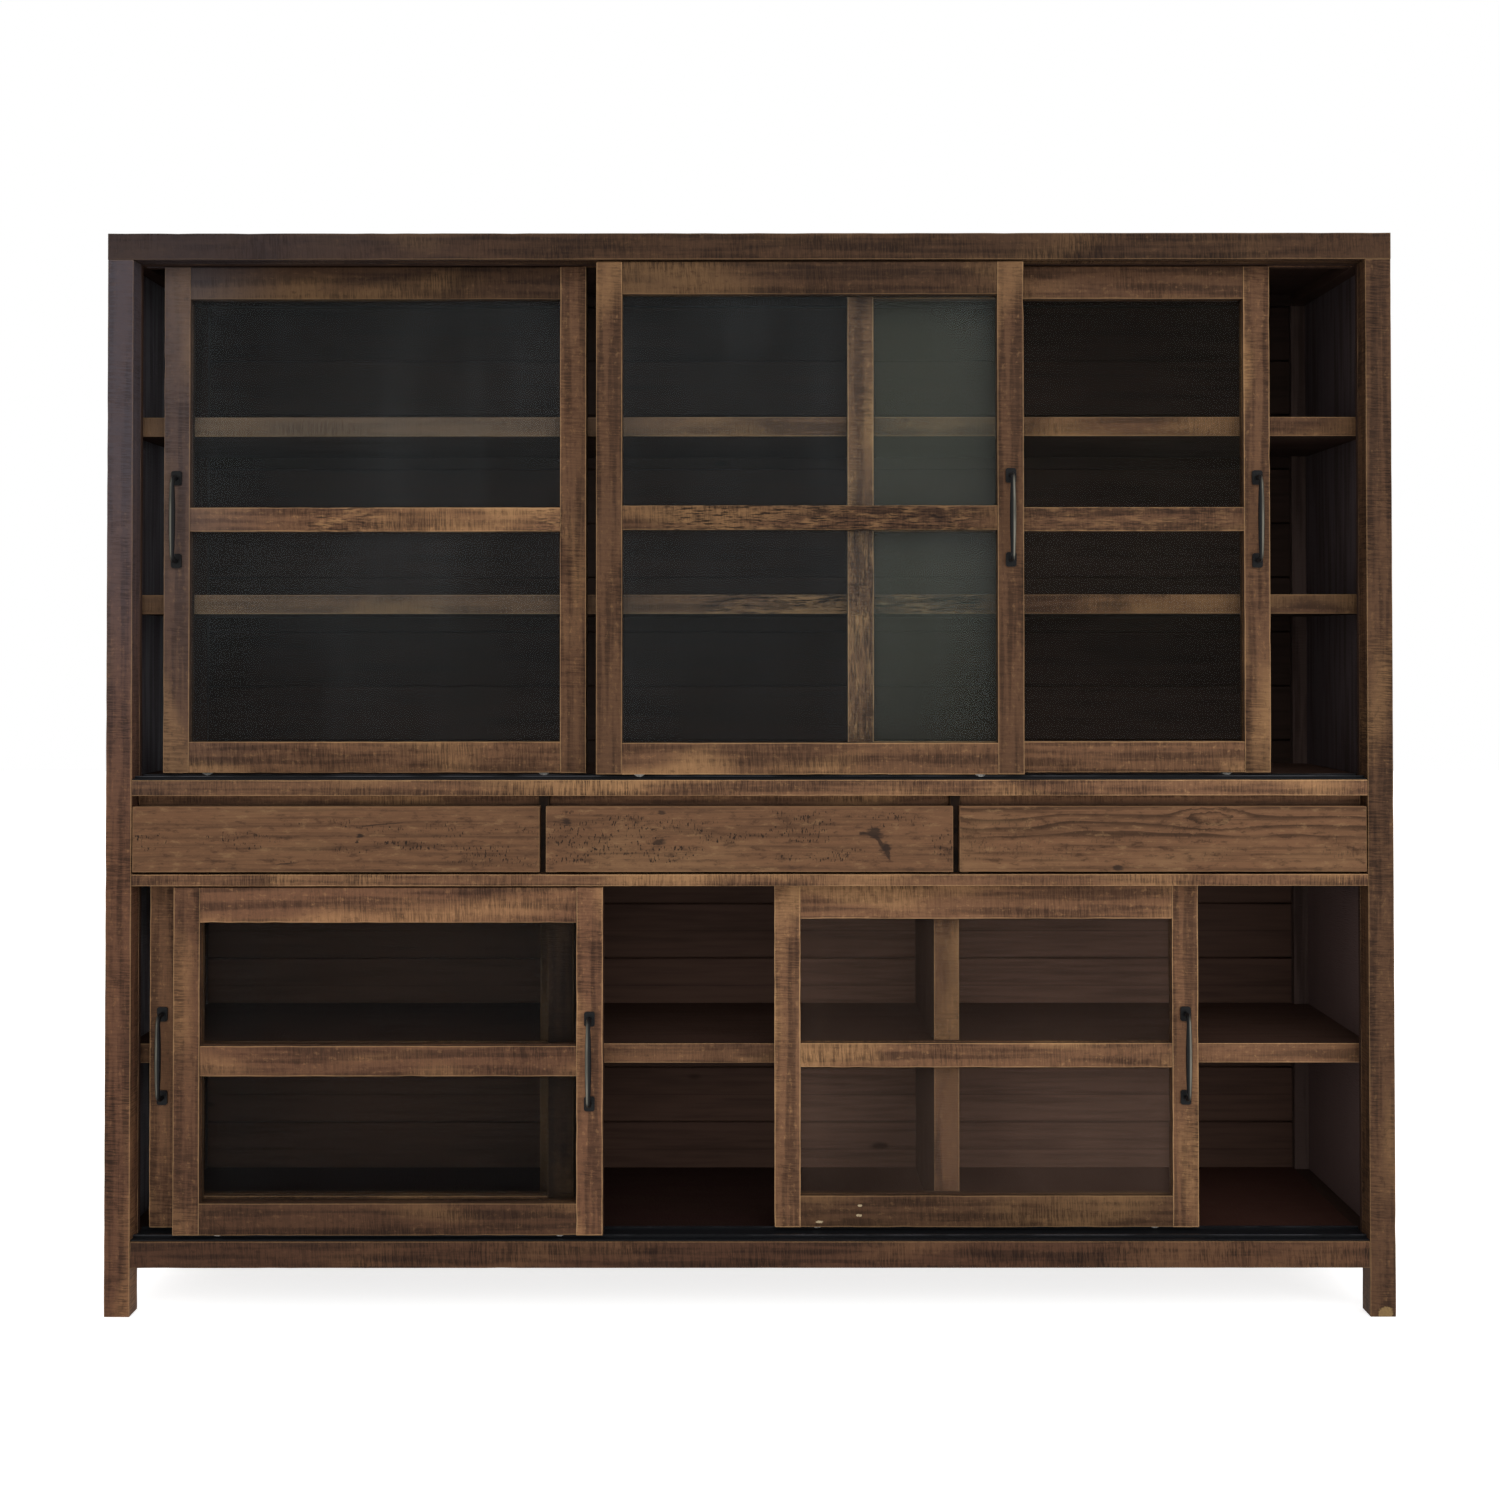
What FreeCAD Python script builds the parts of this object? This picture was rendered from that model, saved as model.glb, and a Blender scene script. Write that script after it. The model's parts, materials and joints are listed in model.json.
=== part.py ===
import FreeCAD, Part
import math
import os
from dataclasses import dataclass

# A wide two-tier dresser in rough-sawn timber: a glazed hutch, a row of drawers and a glazed base,
# all in one carcass.
# Lengths are millimetres. X runs along the front to the right, Y from front to back and Z up.
# The origin lies on the floor, under the middle of the footprint with the door pulls included.

# Carcass, overall
CARCASS_WIDTH = 2200.0
CARCASS_DEPTH = 500.0
POST_WIDTH = 44.0
POST_DEPTH = 44.0

# Carcass, heights from the floor up
FOOT_CLEARANCE = 83.0
BOTTOM_RAIL_HEIGHT = 45.0
LOWER_OPENING = 604.0
DRAWER_DECK_THICKNESS = 20.0
DRAWER_OPENING = 134.0
SILL_THICKNESS = 27.0
UPPER_OPENING = 892.0
TOP_RAIL_HEIGHT = 45.0

# Boards of the carcass
BOTTOM_RAIL_THICKNESS = 30.0
BOTTOM_DECK_THICKNESS = 18.0
TOP_PANEL_THICKNESS = 25.0
SIDE_PANEL_THICKNESS = 12.0
SIDE_PANEL_RECESS = 5.0
BACK_RECESS = 14.0
BACK_BOARD_THICKNESS = 12.0
BACK_BOARD_CHAMFER = 2.0
BACK_BOARD_COUNT = 16
DADO_DEPTH = 5.0

# Shelves and dividers
SHELF_THICKNESS = 34.0
SHELF_DOOR_GAP = 1.5
UPPER_SHELF_RISES = (285.0, 597.0)
LOWER_SHELF_RISE = 285.0
DIVIDER_THICKNESS = 44.0

# Sliding doors: frame
STILE_WIDTH = 45.0
DOOR_THICKNESS = 30.0
FRONT_DOOR_SETBACK = 6.0
TRACK_PITCH = 46.0
DOOR_LIFT = 9.0
SHOULDER_GAP = 3.0
TENON_LENGTH = 30.0
TENON_THICKNESS = 10.0
TENON_SHOULDER = 12.0
DOOR_BOTTOM_RAIL = 54.0
DOOR_MID_RAIL = 42.0
DOOR_TALL_MID_RAIL = 52.0
UPPER_DOOR_TOP_RAIL = 56.0
LOWER_DOOR_TOP_RAIL = 60.0

# Sliding doors: guide tongue at the top
TONGUE_THICKNESS = 10.0
TONGUE_ENTRY = 8.0
GUIDE_TOP_PLAY = 4.0
GUIDE_PLAY = 1.0
GUIDE_DEPTH = 44.0
DOOR_STOP_THICKNESS = 13.0

# Sliding doors: glass
GLASS_THICKNESS = 4.0
GLASS_BITE = 7.0
GLASS_EDGE_PLAY = 1.0
GLASS_PLAY = 0.2

# Sliding doors: how far each stands from its closed place, to the right. The lower middle door instead
# stands beside the pull of the lower left one.
UPPER_LEFT_SLID = 38.0
UPPER_MIDDLE_SLID = 104.0
UPPER_RIGHT_SLID = -151.0
LOWER_LEFT_SLID = 17.0
LOWER_MIDDLE_PULL_GAP = 22.5
LOWER_RIGHT_SLID = -279.0

# Tracks and rollers
TRACK_MARGIN = 17.0
TRACK_PLATE = 2.0
RIB_WIDTH = 4.0
RIB_HEIGHT = 6.0
RIB_PLAY = 0.5
RUNNING_GAP = 0.3
TREAD_RADIUS = 10.0
FLANGE_LIP = 2.0
WHEEL_WIDTH = 9.0
ROLLER_INSET = 74.0
AXLE_RADIUS = 2.5
AXLE_LENGTH = 22.0
AXLE_PLAY = 0.05
POCKET_GAP = 2.0

# Door pulls
PULL_CENTRES = 144.0
PULL_PROJECTION = 34.0
PULL_MID_RADIUS = 5.5
PULL_END_RADIUS = 4.0
PULL_BEND = 14.0
PULL_FOOT_WIDTH = 18.0
PULL_FOOT_HEIGHT = 25.0
PULL_FOOT_THICKNESS = 4.0
PULL_FOOT_ROUND = 4.0
SCREW_RADIUS = 2.0
SCREW_BITE = 8.0
SCREW_PLAY = 0.05
SCREW_HEAD_RADIUS = 4.0
SCREW_HEAD_THICKNESS = 2.5

# Drawers
DRAWER_FINGER_GAP = 18.0
DRAWER_FRONT_THICKNESS = 20.0
DRAWER_FRONT_SETBACK = 1.5
DRAWER_FOOT_GAP = 4.0
DRAWER_END_GAP = 1.5
DRAWER_GAP = 11.0
DRAWER_SIDE_THICKNESS = 12.0
DRAWER_RIM_GAP = 15.0
DRAWER_BACK_GAP = 48.5
DRAWER_BOTTOM_THICKNESS = 6.0
DRAWER_BOTTOM_RISE = 10.0
DRAWER_GROOVE_DEPTH = 5.0
DRAWER_SIDE_PLAY = 1.5
DRAWER_STOP_GAP = 0.5
PARTITION_THICKNESS = 18.0
HEADER_SETBACK = 40.0
HEADER_THICKNESS = 22.0
HEADER_HEIGHT = 24.0
SIDE_GUIDE_HEIGHT = 40.0

# One overrun for every cut that leaves through a face
OVERRUN = 1.0

# Levels worked out from the heights
BOTTOM_DECK_TOP = FOOT_CLEARANCE + BOTTOM_RAIL_HEIGHT
DRAWER_DECK_BOTTOM = BOTTOM_DECK_TOP + LOWER_OPENING
DRAWER_DECK_TOP = DRAWER_DECK_BOTTOM + DRAWER_DECK_THICKNESS
SILL_BOTTOM = DRAWER_DECK_TOP + DRAWER_OPENING
SILL_TOP = SILL_BOTTOM + SILL_THICKNESS
POST_TOP = SILL_TOP + UPPER_OPENING
CARCASS_TOP = POST_TOP + TOP_RAIL_HEIGHT

# Places across, from the middle outwards
HALF_WIDTH = CARCASS_WIDTH / 2
HALF_OPENING = HALF_WIDTH - POST_WIDTH
PANEL_OUTSIDE = HALF_WIDTH - SIDE_PANEL_RECESS
PANEL_INSIDE = PANEL_OUTSIDE - SIDE_PANEL_THICKNESS
DADO_END = PANEL_INSIDE + DADO_DEPTH
OPENING = (-HALF_OPENING, HALF_OPENING)

# Depths behind the front plane of the posts
BACK_POST_FACE = CARCASS_DEPTH - POST_DEPTH
BACK_BOARD_FACE = BACK_POST_FACE + BACK_RECESS
BACK_BOARD_REAR = BACK_BOARD_FACE + BACK_BOARD_THICKNESS
FRONT_TRACK = FRONT_DOOR_SETBACK + DOOR_THICKNESS / 2
REAR_TRACK = FRONT_TRACK + TRACK_PITCH
SHELF_SETBACK = REAR_TRACK + DOOR_THICKNESS / 2 + SCREW_HEAD_THICKNESS + SHELF_DOOR_GAP
PULL_PROUD = PULL_PROJECTION - FRONT_DOOR_SETBACK
FRONT_Y = (PULL_PROUD - CARCASS_DEPTH) / 2

# Doors lap by one stile when all three are closed, and each divider stands behind a lap
DOOR_WIDTH = (2 * HALF_OPENING + 2 * STILE_WIDTH) / 3
CLOSED_PLACE = HALF_OPENING - DOOR_WIDTH / 2
LOWER_LEFT_PLACE = LOWER_LEFT_SLID - CLOSED_PLACE
LOWER_LEFT_PULL = LOWER_LEFT_PLACE - (DOOR_WIDTH - STILE_WIDTH) / 2
LOWER_MIDDLE_PLACE = LOWER_LEFT_PULL + (PULL_FOOT_WIDTH + DOOR_WIDTH) / 2 + LOWER_MIDDLE_PULL_GAP
DIVIDER_PLACE = (DOOR_WIDTH - STILE_WIDTH) / 2
GUIDE_GROOVE_DEPTH = TONGUE_ENTRY + GUIDE_TOP_PLAY
GLASS_GROOVE_DEPTH = GLASS_BITE + GLASS_EDGE_PLAY
FLANGE_RADIUS = TREAD_RADIUS + FLANGE_LIP

# Drawers fill the row between the posts
DRAWER_WIDTH = (2 * HALF_OPENING - 2 * DRAWER_END_GAP - 2 * DRAWER_GAP) / 3
DRAWER_SIDE_INSET = (PARTITION_THICKNESS - DRAWER_GAP) / 2 + DRAWER_SIDE_PLAY
DRAWER_FRONT_BACK = DRAWER_FRONT_SETBACK + DRAWER_FRONT_THICKNESS
DRAWER_FRONT_HEIGHT = DRAWER_OPENING - DRAWER_FOOT_GAP - DRAWER_FINGER_GAP
DRAWER_SIDE_HEIGHT = DRAWER_OPENING - HEADER_HEIGHT - DRAWER_RIM_GAP
DRAWER_BOX_DEPTH = BACK_BOARD_FACE - DRAWER_BACK_GAP - DRAWER_FRONT_BACK


def about(middle, size):
    """A span of the given size round its middle."""
    return (middle - size / 2, middle + size / 2)


def grown(span, by):
    """A span with both ends moved outwards, or inwards where by is negative."""
    return (span[0] - by, span[1] + by)


def mirrored(span):
    """The same span on the other side of the middle plane."""
    return (-span[1], -span[0])


def board(across, depth, height):
    """A squared timber between two places across, two depths behind the front plane and two heights."""
    corner = FreeCAD.Vector(across[0], depth[0], height[0])
    return Part.makeBox(across[1] - across[0], depth[1] - depth[0], height[1] - height[0], corner)


def rod(radius, across, depth, height):
    """A round bar that runs from front to back between two depths."""
    start = FreeCAD.Vector(across, depth[0], height)
    return Part.makeCylinder(radius, depth[1] - depth[0], start, FreeCAD.Vector(0, 1, 0))


def cut_all(piece, tools):
    """The piece with every tool taken out of it."""
    return piece.cut(tools) if tools else piece


def edges_along(shape, direction, test):
    """The straight edges along one axis whose middle passes the test."""
    found = []
    for edge in shape.Edges:
        run = edge.Vertexes[-1].Point - edge.Vertexes[0].Point
        if abs(run.normalize().dot(direction)) > 1 - Part.Precision.confusion() and test(edge.CenterOfMass):
            found.append(edge)
    return found


@dataclass(frozen=True)
class Door:
    """One sliding door: the opening it closes, its track, its place across and its rails."""

    name: str
    sill: float
    lintel: float
    track: float
    centre: float
    pull_side: int
    top_rail: float
    mid_rail: float

    @property
    def bottom(self):
        """Height of the lower edge."""
        return self.sill + DOOR_LIFT

    @property
    def shoulder(self):
        """Height of the shoulders beside the guide tongue."""
        return self.lintel - SHOULDER_GAP

    @property
    def tip(self):
        """Height of the top of the guide tongue."""
        return self.lintel + TONGUE_ENTRY

    @property
    def middle(self):
        """Height of the middle rail's centre line, where the pull sits."""
        return (self.bottom + self.shoulder) / 2

    @property
    def thick(self):
        """The depths of the front and back faces."""
        return about(self.track, DOOR_THICKNESS)

    @property
    def inner(self):
        """The span between the stiles."""
        return about(self.centre, DOOR_WIDTH - 2 * STILE_WIDTH)

    @property
    def lights(self):
        """The heights of the two glazed lights, lower one first."""
        rail = about(self.middle, self.mid_rail)
        return ((self.bottom + DOOR_BOTTOM_RAIL, rail[0]), (rail[1], self.shoulder - self.top_rail))

    @property
    def pull_place(self):
        """Where the pull's stile has its middle."""
        return self.centre + self.pull_side * (DOOR_WIDTH - STILE_WIDTH) / 2

    @property
    def roller_places(self):
        """Where the two rollers turn, left one first."""
        return about(self.centre, DOOR_WIDTH - 2 * ROLLER_INSET)

    @property
    def roller_height(self):
        """Height of the roller axles above the floor."""
        return self.sill + RIB_HEIGHT + RUNNING_GAP + TREAD_RADIUS


DOORS = (
    Door("upper_left_door", SILL_TOP, POST_TOP, REAR_TRACK, UPPER_LEFT_SLID - CLOSED_PLACE, -1,
         UPPER_DOOR_TOP_RAIL, DOOR_MID_RAIL),
    Door("upper_middle_door", SILL_TOP, POST_TOP, FRONT_TRACK, UPPER_MIDDLE_SLID, 1,
         UPPER_DOOR_TOP_RAIL, DOOR_MID_RAIL),
    Door("upper_right_door", SILL_TOP, POST_TOP, REAR_TRACK, UPPER_RIGHT_SLID + CLOSED_PLACE, 1,
         UPPER_DOOR_TOP_RAIL, DOOR_MID_RAIL),
    Door("lower_left_door", BOTTOM_DECK_TOP, DRAWER_DECK_BOTTOM, REAR_TRACK,
         LOWER_LEFT_PLACE, -1, LOWER_DOOR_TOP_RAIL, DOOR_MID_RAIL),
    Door("lower_middle_door", BOTTOM_DECK_TOP, DRAWER_DECK_BOTTOM, FRONT_TRACK,
         LOWER_MIDDLE_PLACE, 1, LOWER_DOOR_TOP_RAIL, DOOR_TALL_MID_RAIL),
    Door("lower_right_door", BOTTOM_DECK_TOP, DRAWER_DECK_BOTTOM, REAR_TRACK,
         LOWER_RIGHT_SLID + CLOSED_PLACE, 1, LOWER_DOOR_TOP_RAIL, DOOR_MID_RAIL),
)


def door_tongue(door, across):
    """The part of the guide tongue over one stile or over the top rail."""
    return board(across, about(door.track, TONGUE_THICKNESS), (door.shoulder, door.tip))


def rail_tenon(door, height):
    """One bar that makes the tenons at both ends of a rail."""
    across = grown(door.inner, TENON_LENGTH)
    return board(across, about(door.track, TENON_THICKNESS), grown(height, -TENON_SHOULDER))


def glass_pane(door, light, reach, play):
    """A pane that reaches into the frame on all four edges, with play on both faces."""
    thickness = GLASS_THICKNESS + 2 * play
    return board(grown(door.inner, reach), about(door.track, thickness), grown(light, reach))


def roller_pocket(door, place):
    """The mortise for a roller in the bottom rail, open below, with the bores for its axle."""
    height = (door.bottom - OVERRUN, door.roller_height + FLANGE_RADIUS + POCKET_GAP)
    width = 2 * (FLANGE_RADIUS + POCKET_GAP)
    pocket = board(about(place, width), about(door.track, WHEEL_WIDTH + 2 * POCKET_GAP), height)
    bore_depth = about(door.track, AXLE_LENGTH + 2 * AXLE_PLAY)
    bore = rod(AXLE_RADIUS + AXLE_PLAY, place, bore_depth, door.roller_height)
    return pocket.fuse(bore)


def pull_feet(door):
    """The heights of the two feet of a pull."""
    return about(door.middle, PULL_CENTRES)


def door_frame(door):
    """Two stiles and three rails, mortised and tenoned, grooved for the glass and tongued along the top."""
    low, high = door.lights
    rail_heights = ((door.bottom, low[0]), (low[1], high[0]), (high[1], door.shoulder))
    tenons = [rail_tenon(door, height) for height in rail_heights]
    grooves = [glass_pane(door, light, GLASS_GROOVE_DEPTH, GLASS_PLAY) for light in door.lights]
    screw_depth = grown(door.thick, OVERRUN)
    holes = [rod(SCREW_RADIUS + SCREW_PLAY, door.pull_place, screw_depth, height) for height in pull_feet(door)]
    stiles = []
    for side in (-1, 1):
        across = about(door.centre + side * (DOOR_WIDTH - STILE_WIDTH) / 2, STILE_WIDTH)
        stile = board(across, door.thick, (door.bottom, door.shoulder)).fuse(door_tongue(door, across))
        drilled = holes if side == door.pull_side else []
        stiles.append(cut_all(stile, tenons + grooves + drilled).removeSplitter())
    rails = []
    for height, tenon in zip(rail_heights, tenons):
        rail = board(door.inner, door.thick, height).fuse(tenon)
        if height[1] == door.shoulder:
            rail = rail.fuse(door_tongue(door, door.inner))
        rollers = door.roller_places if height[0] == door.bottom else ()
        pockets = [roller_pocket(door, place) for place in rollers]
        rails.append(cut_all(rail, grooves + pockets).removeSplitter())
    return stiles + rails


def door_glass(door):
    """The two panes, held in the frame's grooves."""
    return [glass_pane(door, light, GLASS_BITE, 0) for light in door.lights]


def pull_bend(bar_depth, foot, toward):
    """The quarter bend that turns a pull's leg into its bar, toward the pull's middle."""
    start = FreeCAD.Vector(0, bar_depth + PULL_BEND, foot)
    circle = Part.makeCircle(PULL_END_RADIUS, start, FreeCAD.Vector(0, 1, 0))
    centre = FreeCAD.Vector(0, start.y, foot + toward * PULL_BEND)
    quarter_turn = math.degrees(math.pi / 2)
    return Part.Face(Part.Wire(circle)).revolve(centre, FreeCAD.Vector(-toward, 0, 0), quarter_turn)


def pull_bar(bar_depth, height):
    """The upright bar of a pull, a little thicker at its middle than at its ends."""
    axis = FreeCAD.Vector(0, bar_depth, height[0])
    end = FreeCAD.Vector(PULL_END_RADIUS, 0, 0)
    swell = FreeCAD.Vector(PULL_MID_RADIUS, 0, (height[1] - height[0]) / 2)
    top = FreeCAD.Vector(0, 0, height[1] - height[0])
    outside = Part.Arc(axis + end, axis + swell, axis + top + end).toShape()
    upper = Part.makeLine(axis + top + end, axis + top)
    core = Part.makeLine(axis + top, axis)
    lower = Part.makeLine(axis, axis + end)
    profile = Part.Face(Part.Wire([outside, upper, core, lower]))
    full_turn = math.degrees(2 * math.pi)
    return profile.revolve(axis, FreeCAD.Vector(0, 0, 1), full_turn)


def pull_and_screws():
    """An arched pull on two flat feet and its two screws, centred on Z 0 with the door's face at Y 0."""
    bar_depth = PULL_MID_RADIUS - PULL_PROJECTION
    low, high = about(0, PULL_CENTRES)
    pull = pull_bar(bar_depth, (low + PULL_BEND, high - PULL_BEND))
    screws = []
    for foot, toward in ((low, 1), (high, -1)):
        plate_depth = (-PULL_FOOT_THICKNESS, 0)
        plate = board(about(0, PULL_FOOT_WIDTH), plate_depth, about(foot, PULL_FOOT_HEIGHT))
        corners = edges_along(plate, FreeCAD.Vector(0, 1, 0), lambda point: True)
        plate = plate.makeFillet(PULL_FOOT_ROUND, corners)
        leg = rod(PULL_END_RADIUS, 0, (bar_depth + PULL_BEND, 0), foot)
        pull = pull.fuse([plate, leg, pull_bend(bar_depth, foot, toward)])
        tip_depth = -PULL_FOOT_THICKNESS - SCREW_BITE
        pull = pull.cut(rod(SCREW_RADIUS + SCREW_PLAY, 0, (tip_depth - OVERRUN, OVERRUN), foot))
        shank = rod(SCREW_RADIUS, 0, (tip_depth, DOOR_THICKNESS), foot)
        head = rod(SCREW_HEAD_RADIUS, 0, (DOOR_THICKNESS, DOOR_THICKNESS + SCREW_HEAD_THICKNESS), foot)
        screws.append(shank.fuse(head).removeSplitter())
    return [pull.removeSplitter()] + screws


def roller():
    """A grooved wheel that straddles the track's rib, with its axle, about the origin."""
    wheel = rod(FLANGE_RADIUS, 0, about(0, WHEEL_WIDTH), 0)
    groove = about(0, RIB_WIDTH + 2 * RIB_PLAY)
    ring = rod(FLANGE_RADIUS + OVERRUN, 0, groove, 0).cut(rod(TREAD_RADIUS, 0, groove, 0))
    axle = rod(AXLE_RADIUS, 0, about(0, AXLE_LENGTH), 0)
    return wheel.cut(ring).fuse(axle).removeSplitter()


def placed(piece, across, depth, height):
    """A copy of a piece made about the origin, carried to its place on the dresser."""
    return piece.translated(FreeCAD.Vector(across, depth, height))


def door_parts():
    """Every node of the six doors."""
    parts = {}
    pull = pull_and_screws()
    wheel = roller()
    for door in DOORS:
        parts[door.name + "_frame"] = door_frame(door)
        parts[door.name + "_glass"] = door_glass(door)
        pull_spot = (door.pull_place, door.thick[0], door.middle)
        parts[door.name + "_pull"] = [placed(piece, *pull_spot) for piece in pull]
        for side, place in zip(("left", "right"), door.roller_places):
            parts[door.name + "_roller_" + side] = [placed(wheel, place, door.track, door.roller_height)]
    return parts


def drawer_centres():
    """The middles of the three drawers, from left to right."""
    step = DRAWER_WIDTH + DRAWER_GAP
    return (-step, 0, step)


def drawer_parts():
    """The front and the box of each drawer."""
    parts = {}
    box_bottom = DRAWER_DECK_TOP + RUNNING_GAP
    for name, centre in zip(("left_drawer", "middle_drawer", "right_drawer"), drawer_centres()):
        outside = about(centre, DRAWER_WIDTH - 2 * DRAWER_SIDE_INSET)
        inside = grown(outside, -DRAWER_SIDE_THICKNESS)
        length = (DRAWER_FRONT_BACK, DRAWER_FRONT_BACK + DRAWER_BOX_DEPTH)
        rise = (box_bottom, box_bottom + DRAWER_SIDE_HEIGHT)
        back_depth = (length[1] - DRAWER_SIDE_THICKNESS, length[1])
        floor_depth = (length[0] - DRAWER_GROOVE_DEPTH, back_depth[0] + DRAWER_GROOVE_DEPTH)
        floor_bottom = box_bottom + DRAWER_BOTTOM_RISE
        floor_height = (floor_bottom, floor_bottom + DRAWER_BOTTOM_THICKNESS)
        floor = board(grown(inside, DRAWER_GROOVE_DEPTH), floor_depth, floor_height)
        front_bottom = DRAWER_DECK_TOP + DRAWER_FOOT_GAP
        front = board(
            about(centre, DRAWER_WIDTH),
            (DRAWER_FRONT_SETBACK, DRAWER_FRONT_BACK),
            (front_bottom, front_bottom + DRAWER_FRONT_HEIGHT),
        )
        sides = [
            board((outside[0], inside[0]), length, rise),
            board((inside[1], outside[1]), length, rise),
            board(inside, back_depth, rise),
        ]
        parts[name + "_front"] = [front.cut(floor)]
        parts[name + "_box"] = [side.cut(floor) for side in sides] + [floor]
    return parts


def post_boards():
    """The four corner posts by name; their lower ends are the feet."""
    right = (HALF_OPENING, HALF_WIDTH)
    height = (0, POST_TOP)
    posts = {}
    for row, depth in (("front", (0, POST_DEPTH)), ("back", (BACK_POST_FACE, CARCASS_DEPTH))):
        posts[row + "_post_left"] = board(mirrored(right), depth, height)
        posts[row + "_post_right"] = board(right, depth, height)
    return posts


def guide_groove(track, lintel):
    """The groove that a row of door tongues runs in, cut upwards from the lintel's underside."""
    width = TONGUE_THICKNESS + 2 * GUIDE_PLAY
    return board(OPENING, about(track, width), (lintel - OVERRUN, lintel + GUIDE_GROOVE_DEPTH))


def top_parts():
    """The frame of rails that lies over the posts, the panel let into it and the rear door guide."""
    height = (POST_TOP, CARCASS_TOP)
    across = (-HALF_WIDTH, HALF_WIDTH)
    front_rail = board(across, (0, POST_DEPTH), height).cut(guide_groove(FRONT_TRACK, POST_TOP))
    panel_bottom = CARCASS_TOP - TOP_PANEL_THICKNESS
    guide_depth = (POST_DEPTH, POST_DEPTH + GUIDE_DEPTH)
    guide = board(OPENING, guide_depth, (POST_TOP, panel_bottom)).cut(guide_groove(REAR_TRACK, POST_TOP))
    return {
        "top_front_rail": [front_rail],
        "top_back_rail": [board(across, (BACK_POST_FACE, CARCASS_DEPTH), height)],
        "top_panel": [board(OPENING, (POST_DEPTH, BACK_POST_FACE), (panel_bottom, CARCASS_TOP))],
        "upper_rear_guide": [guide],
    }


def shelf_board(across, bottom):
    """A shelf from behind the doors to the back boards."""
    return board(across, (SHELF_SETBACK, BACK_BOARD_FACE), (bottom, bottom + SHELF_THICKNESS))


def divider_boards():
    """The two upright dividers of the lower tier."""
    across = about(DIVIDER_PLACE, DIVIDER_THICKNESS)
    depth = (SHELF_SETBACK, BACK_BOARD_FACE)
    height = (BOTTOM_DECK_TOP, DRAWER_DECK_BOTTOM)
    return [board(mirrored(across), depth, height), board(across, depth, height)]


def level_parts(posts):
    """Decks, shelves and dividers, housed in the side panels and notched round the posts."""
    wide = (-DADO_END, DADO_END)
    full_depth = (0, BACK_BOARD_FACE)
    upper_deck = board(wide, full_depth, (SILL_BOTTOM, SILL_TOP))
    drawer_deck = board(wide, full_depth, (DRAWER_DECK_BOTTOM, DRAWER_DECK_TOP))
    grooves = [guide_groove(track, DRAWER_DECK_BOTTOM) for track in (FRONT_TRACK, REAR_TRACK)]
    bay_wall = DIVIDER_PLACE - DIVIDER_THICKNESS / 2
    right_bay = (DIVIDER_PLACE + DIVIDER_THICKNESS / 2 - DADO_DEPTH, DADO_END)
    middle_bay = grown((-bay_wall, bay_wall), DADO_DEPTH)
    lower_rise = BOTTOM_DECK_TOP + LOWER_SHELF_RISE
    lower_shelves = [shelf_board(bay, lower_rise) for bay in (mirrored(right_bay), middle_bay, right_bay)]
    upper_shelves = [shelf_board(wide, SILL_TOP + rise) for rise in UPPER_SHELF_RISES]
    deck_depth = (BOTTOM_RAIL_THICKNESS, BACK_BOARD_FACE)
    deck_height = (BOTTOM_DECK_TOP - BOTTOM_DECK_THICKNESS, BOTTOM_DECK_TOP)
    return {
        "upper_deck": [upper_deck.cut(posts)],
        "drawer_deck": [drawer_deck.cut(posts + grooves)],
        "upper_shelves": [shelf.cut(posts) for shelf in upper_shelves],
        "lower_shelves": [shelf.cut(posts) for shelf in lower_shelves],
        "lower_dividers": [divider.cut(lower_shelves) for divider in divider_boards()],
        "bottom_deck": [board(OPENING, deck_depth, deck_height)],
        "bottom_front_rail": [board(OPENING, (0, BOTTOM_RAIL_THICKNESS), (FOOT_CLEARANCE, BOTTOM_DECK_TOP))],
    }


def side_parts(housed):
    """The side panels with their housings, the end rails above and below them and the door stops."""
    span = (POST_DEPTH, BACK_POST_FACE)
    outer = (HALF_OPENING, HALF_WIDTH)
    panel = (PANEL_INSIDE, PANEL_OUTSIDE)
    stop = (HALF_OPENING, PANEL_INSIDE)
    stop_depth = (POST_DEPTH, POST_DEPTH + DOOR_STOP_THICKNESS)
    rails = []
    stops = []
    panels = []
    for turn in (mirrored, tuple):
        panels.append(board(turn(panel), span, (BOTTOM_DECK_TOP, POST_TOP)).cut(housed))
        rails.append(board(turn(outer), span, (FOOT_CLEARANCE, BOTTOM_DECK_TOP)))
        rails.append(board(turn(outer), span, (POST_TOP, CARCASS_TOP)))
        for height in ((BOTTOM_DECK_TOP, DRAWER_DECK_BOTTOM), (SILL_TOP, POST_TOP)):
            stops.append(board(turn(stop), stop_depth, height))
    return {
        "side_panel_left": [panels[0]],
        "side_panel_right": [panels[1]],
        "side_rails": rails,
        "door_stops": stops,
    }


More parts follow.
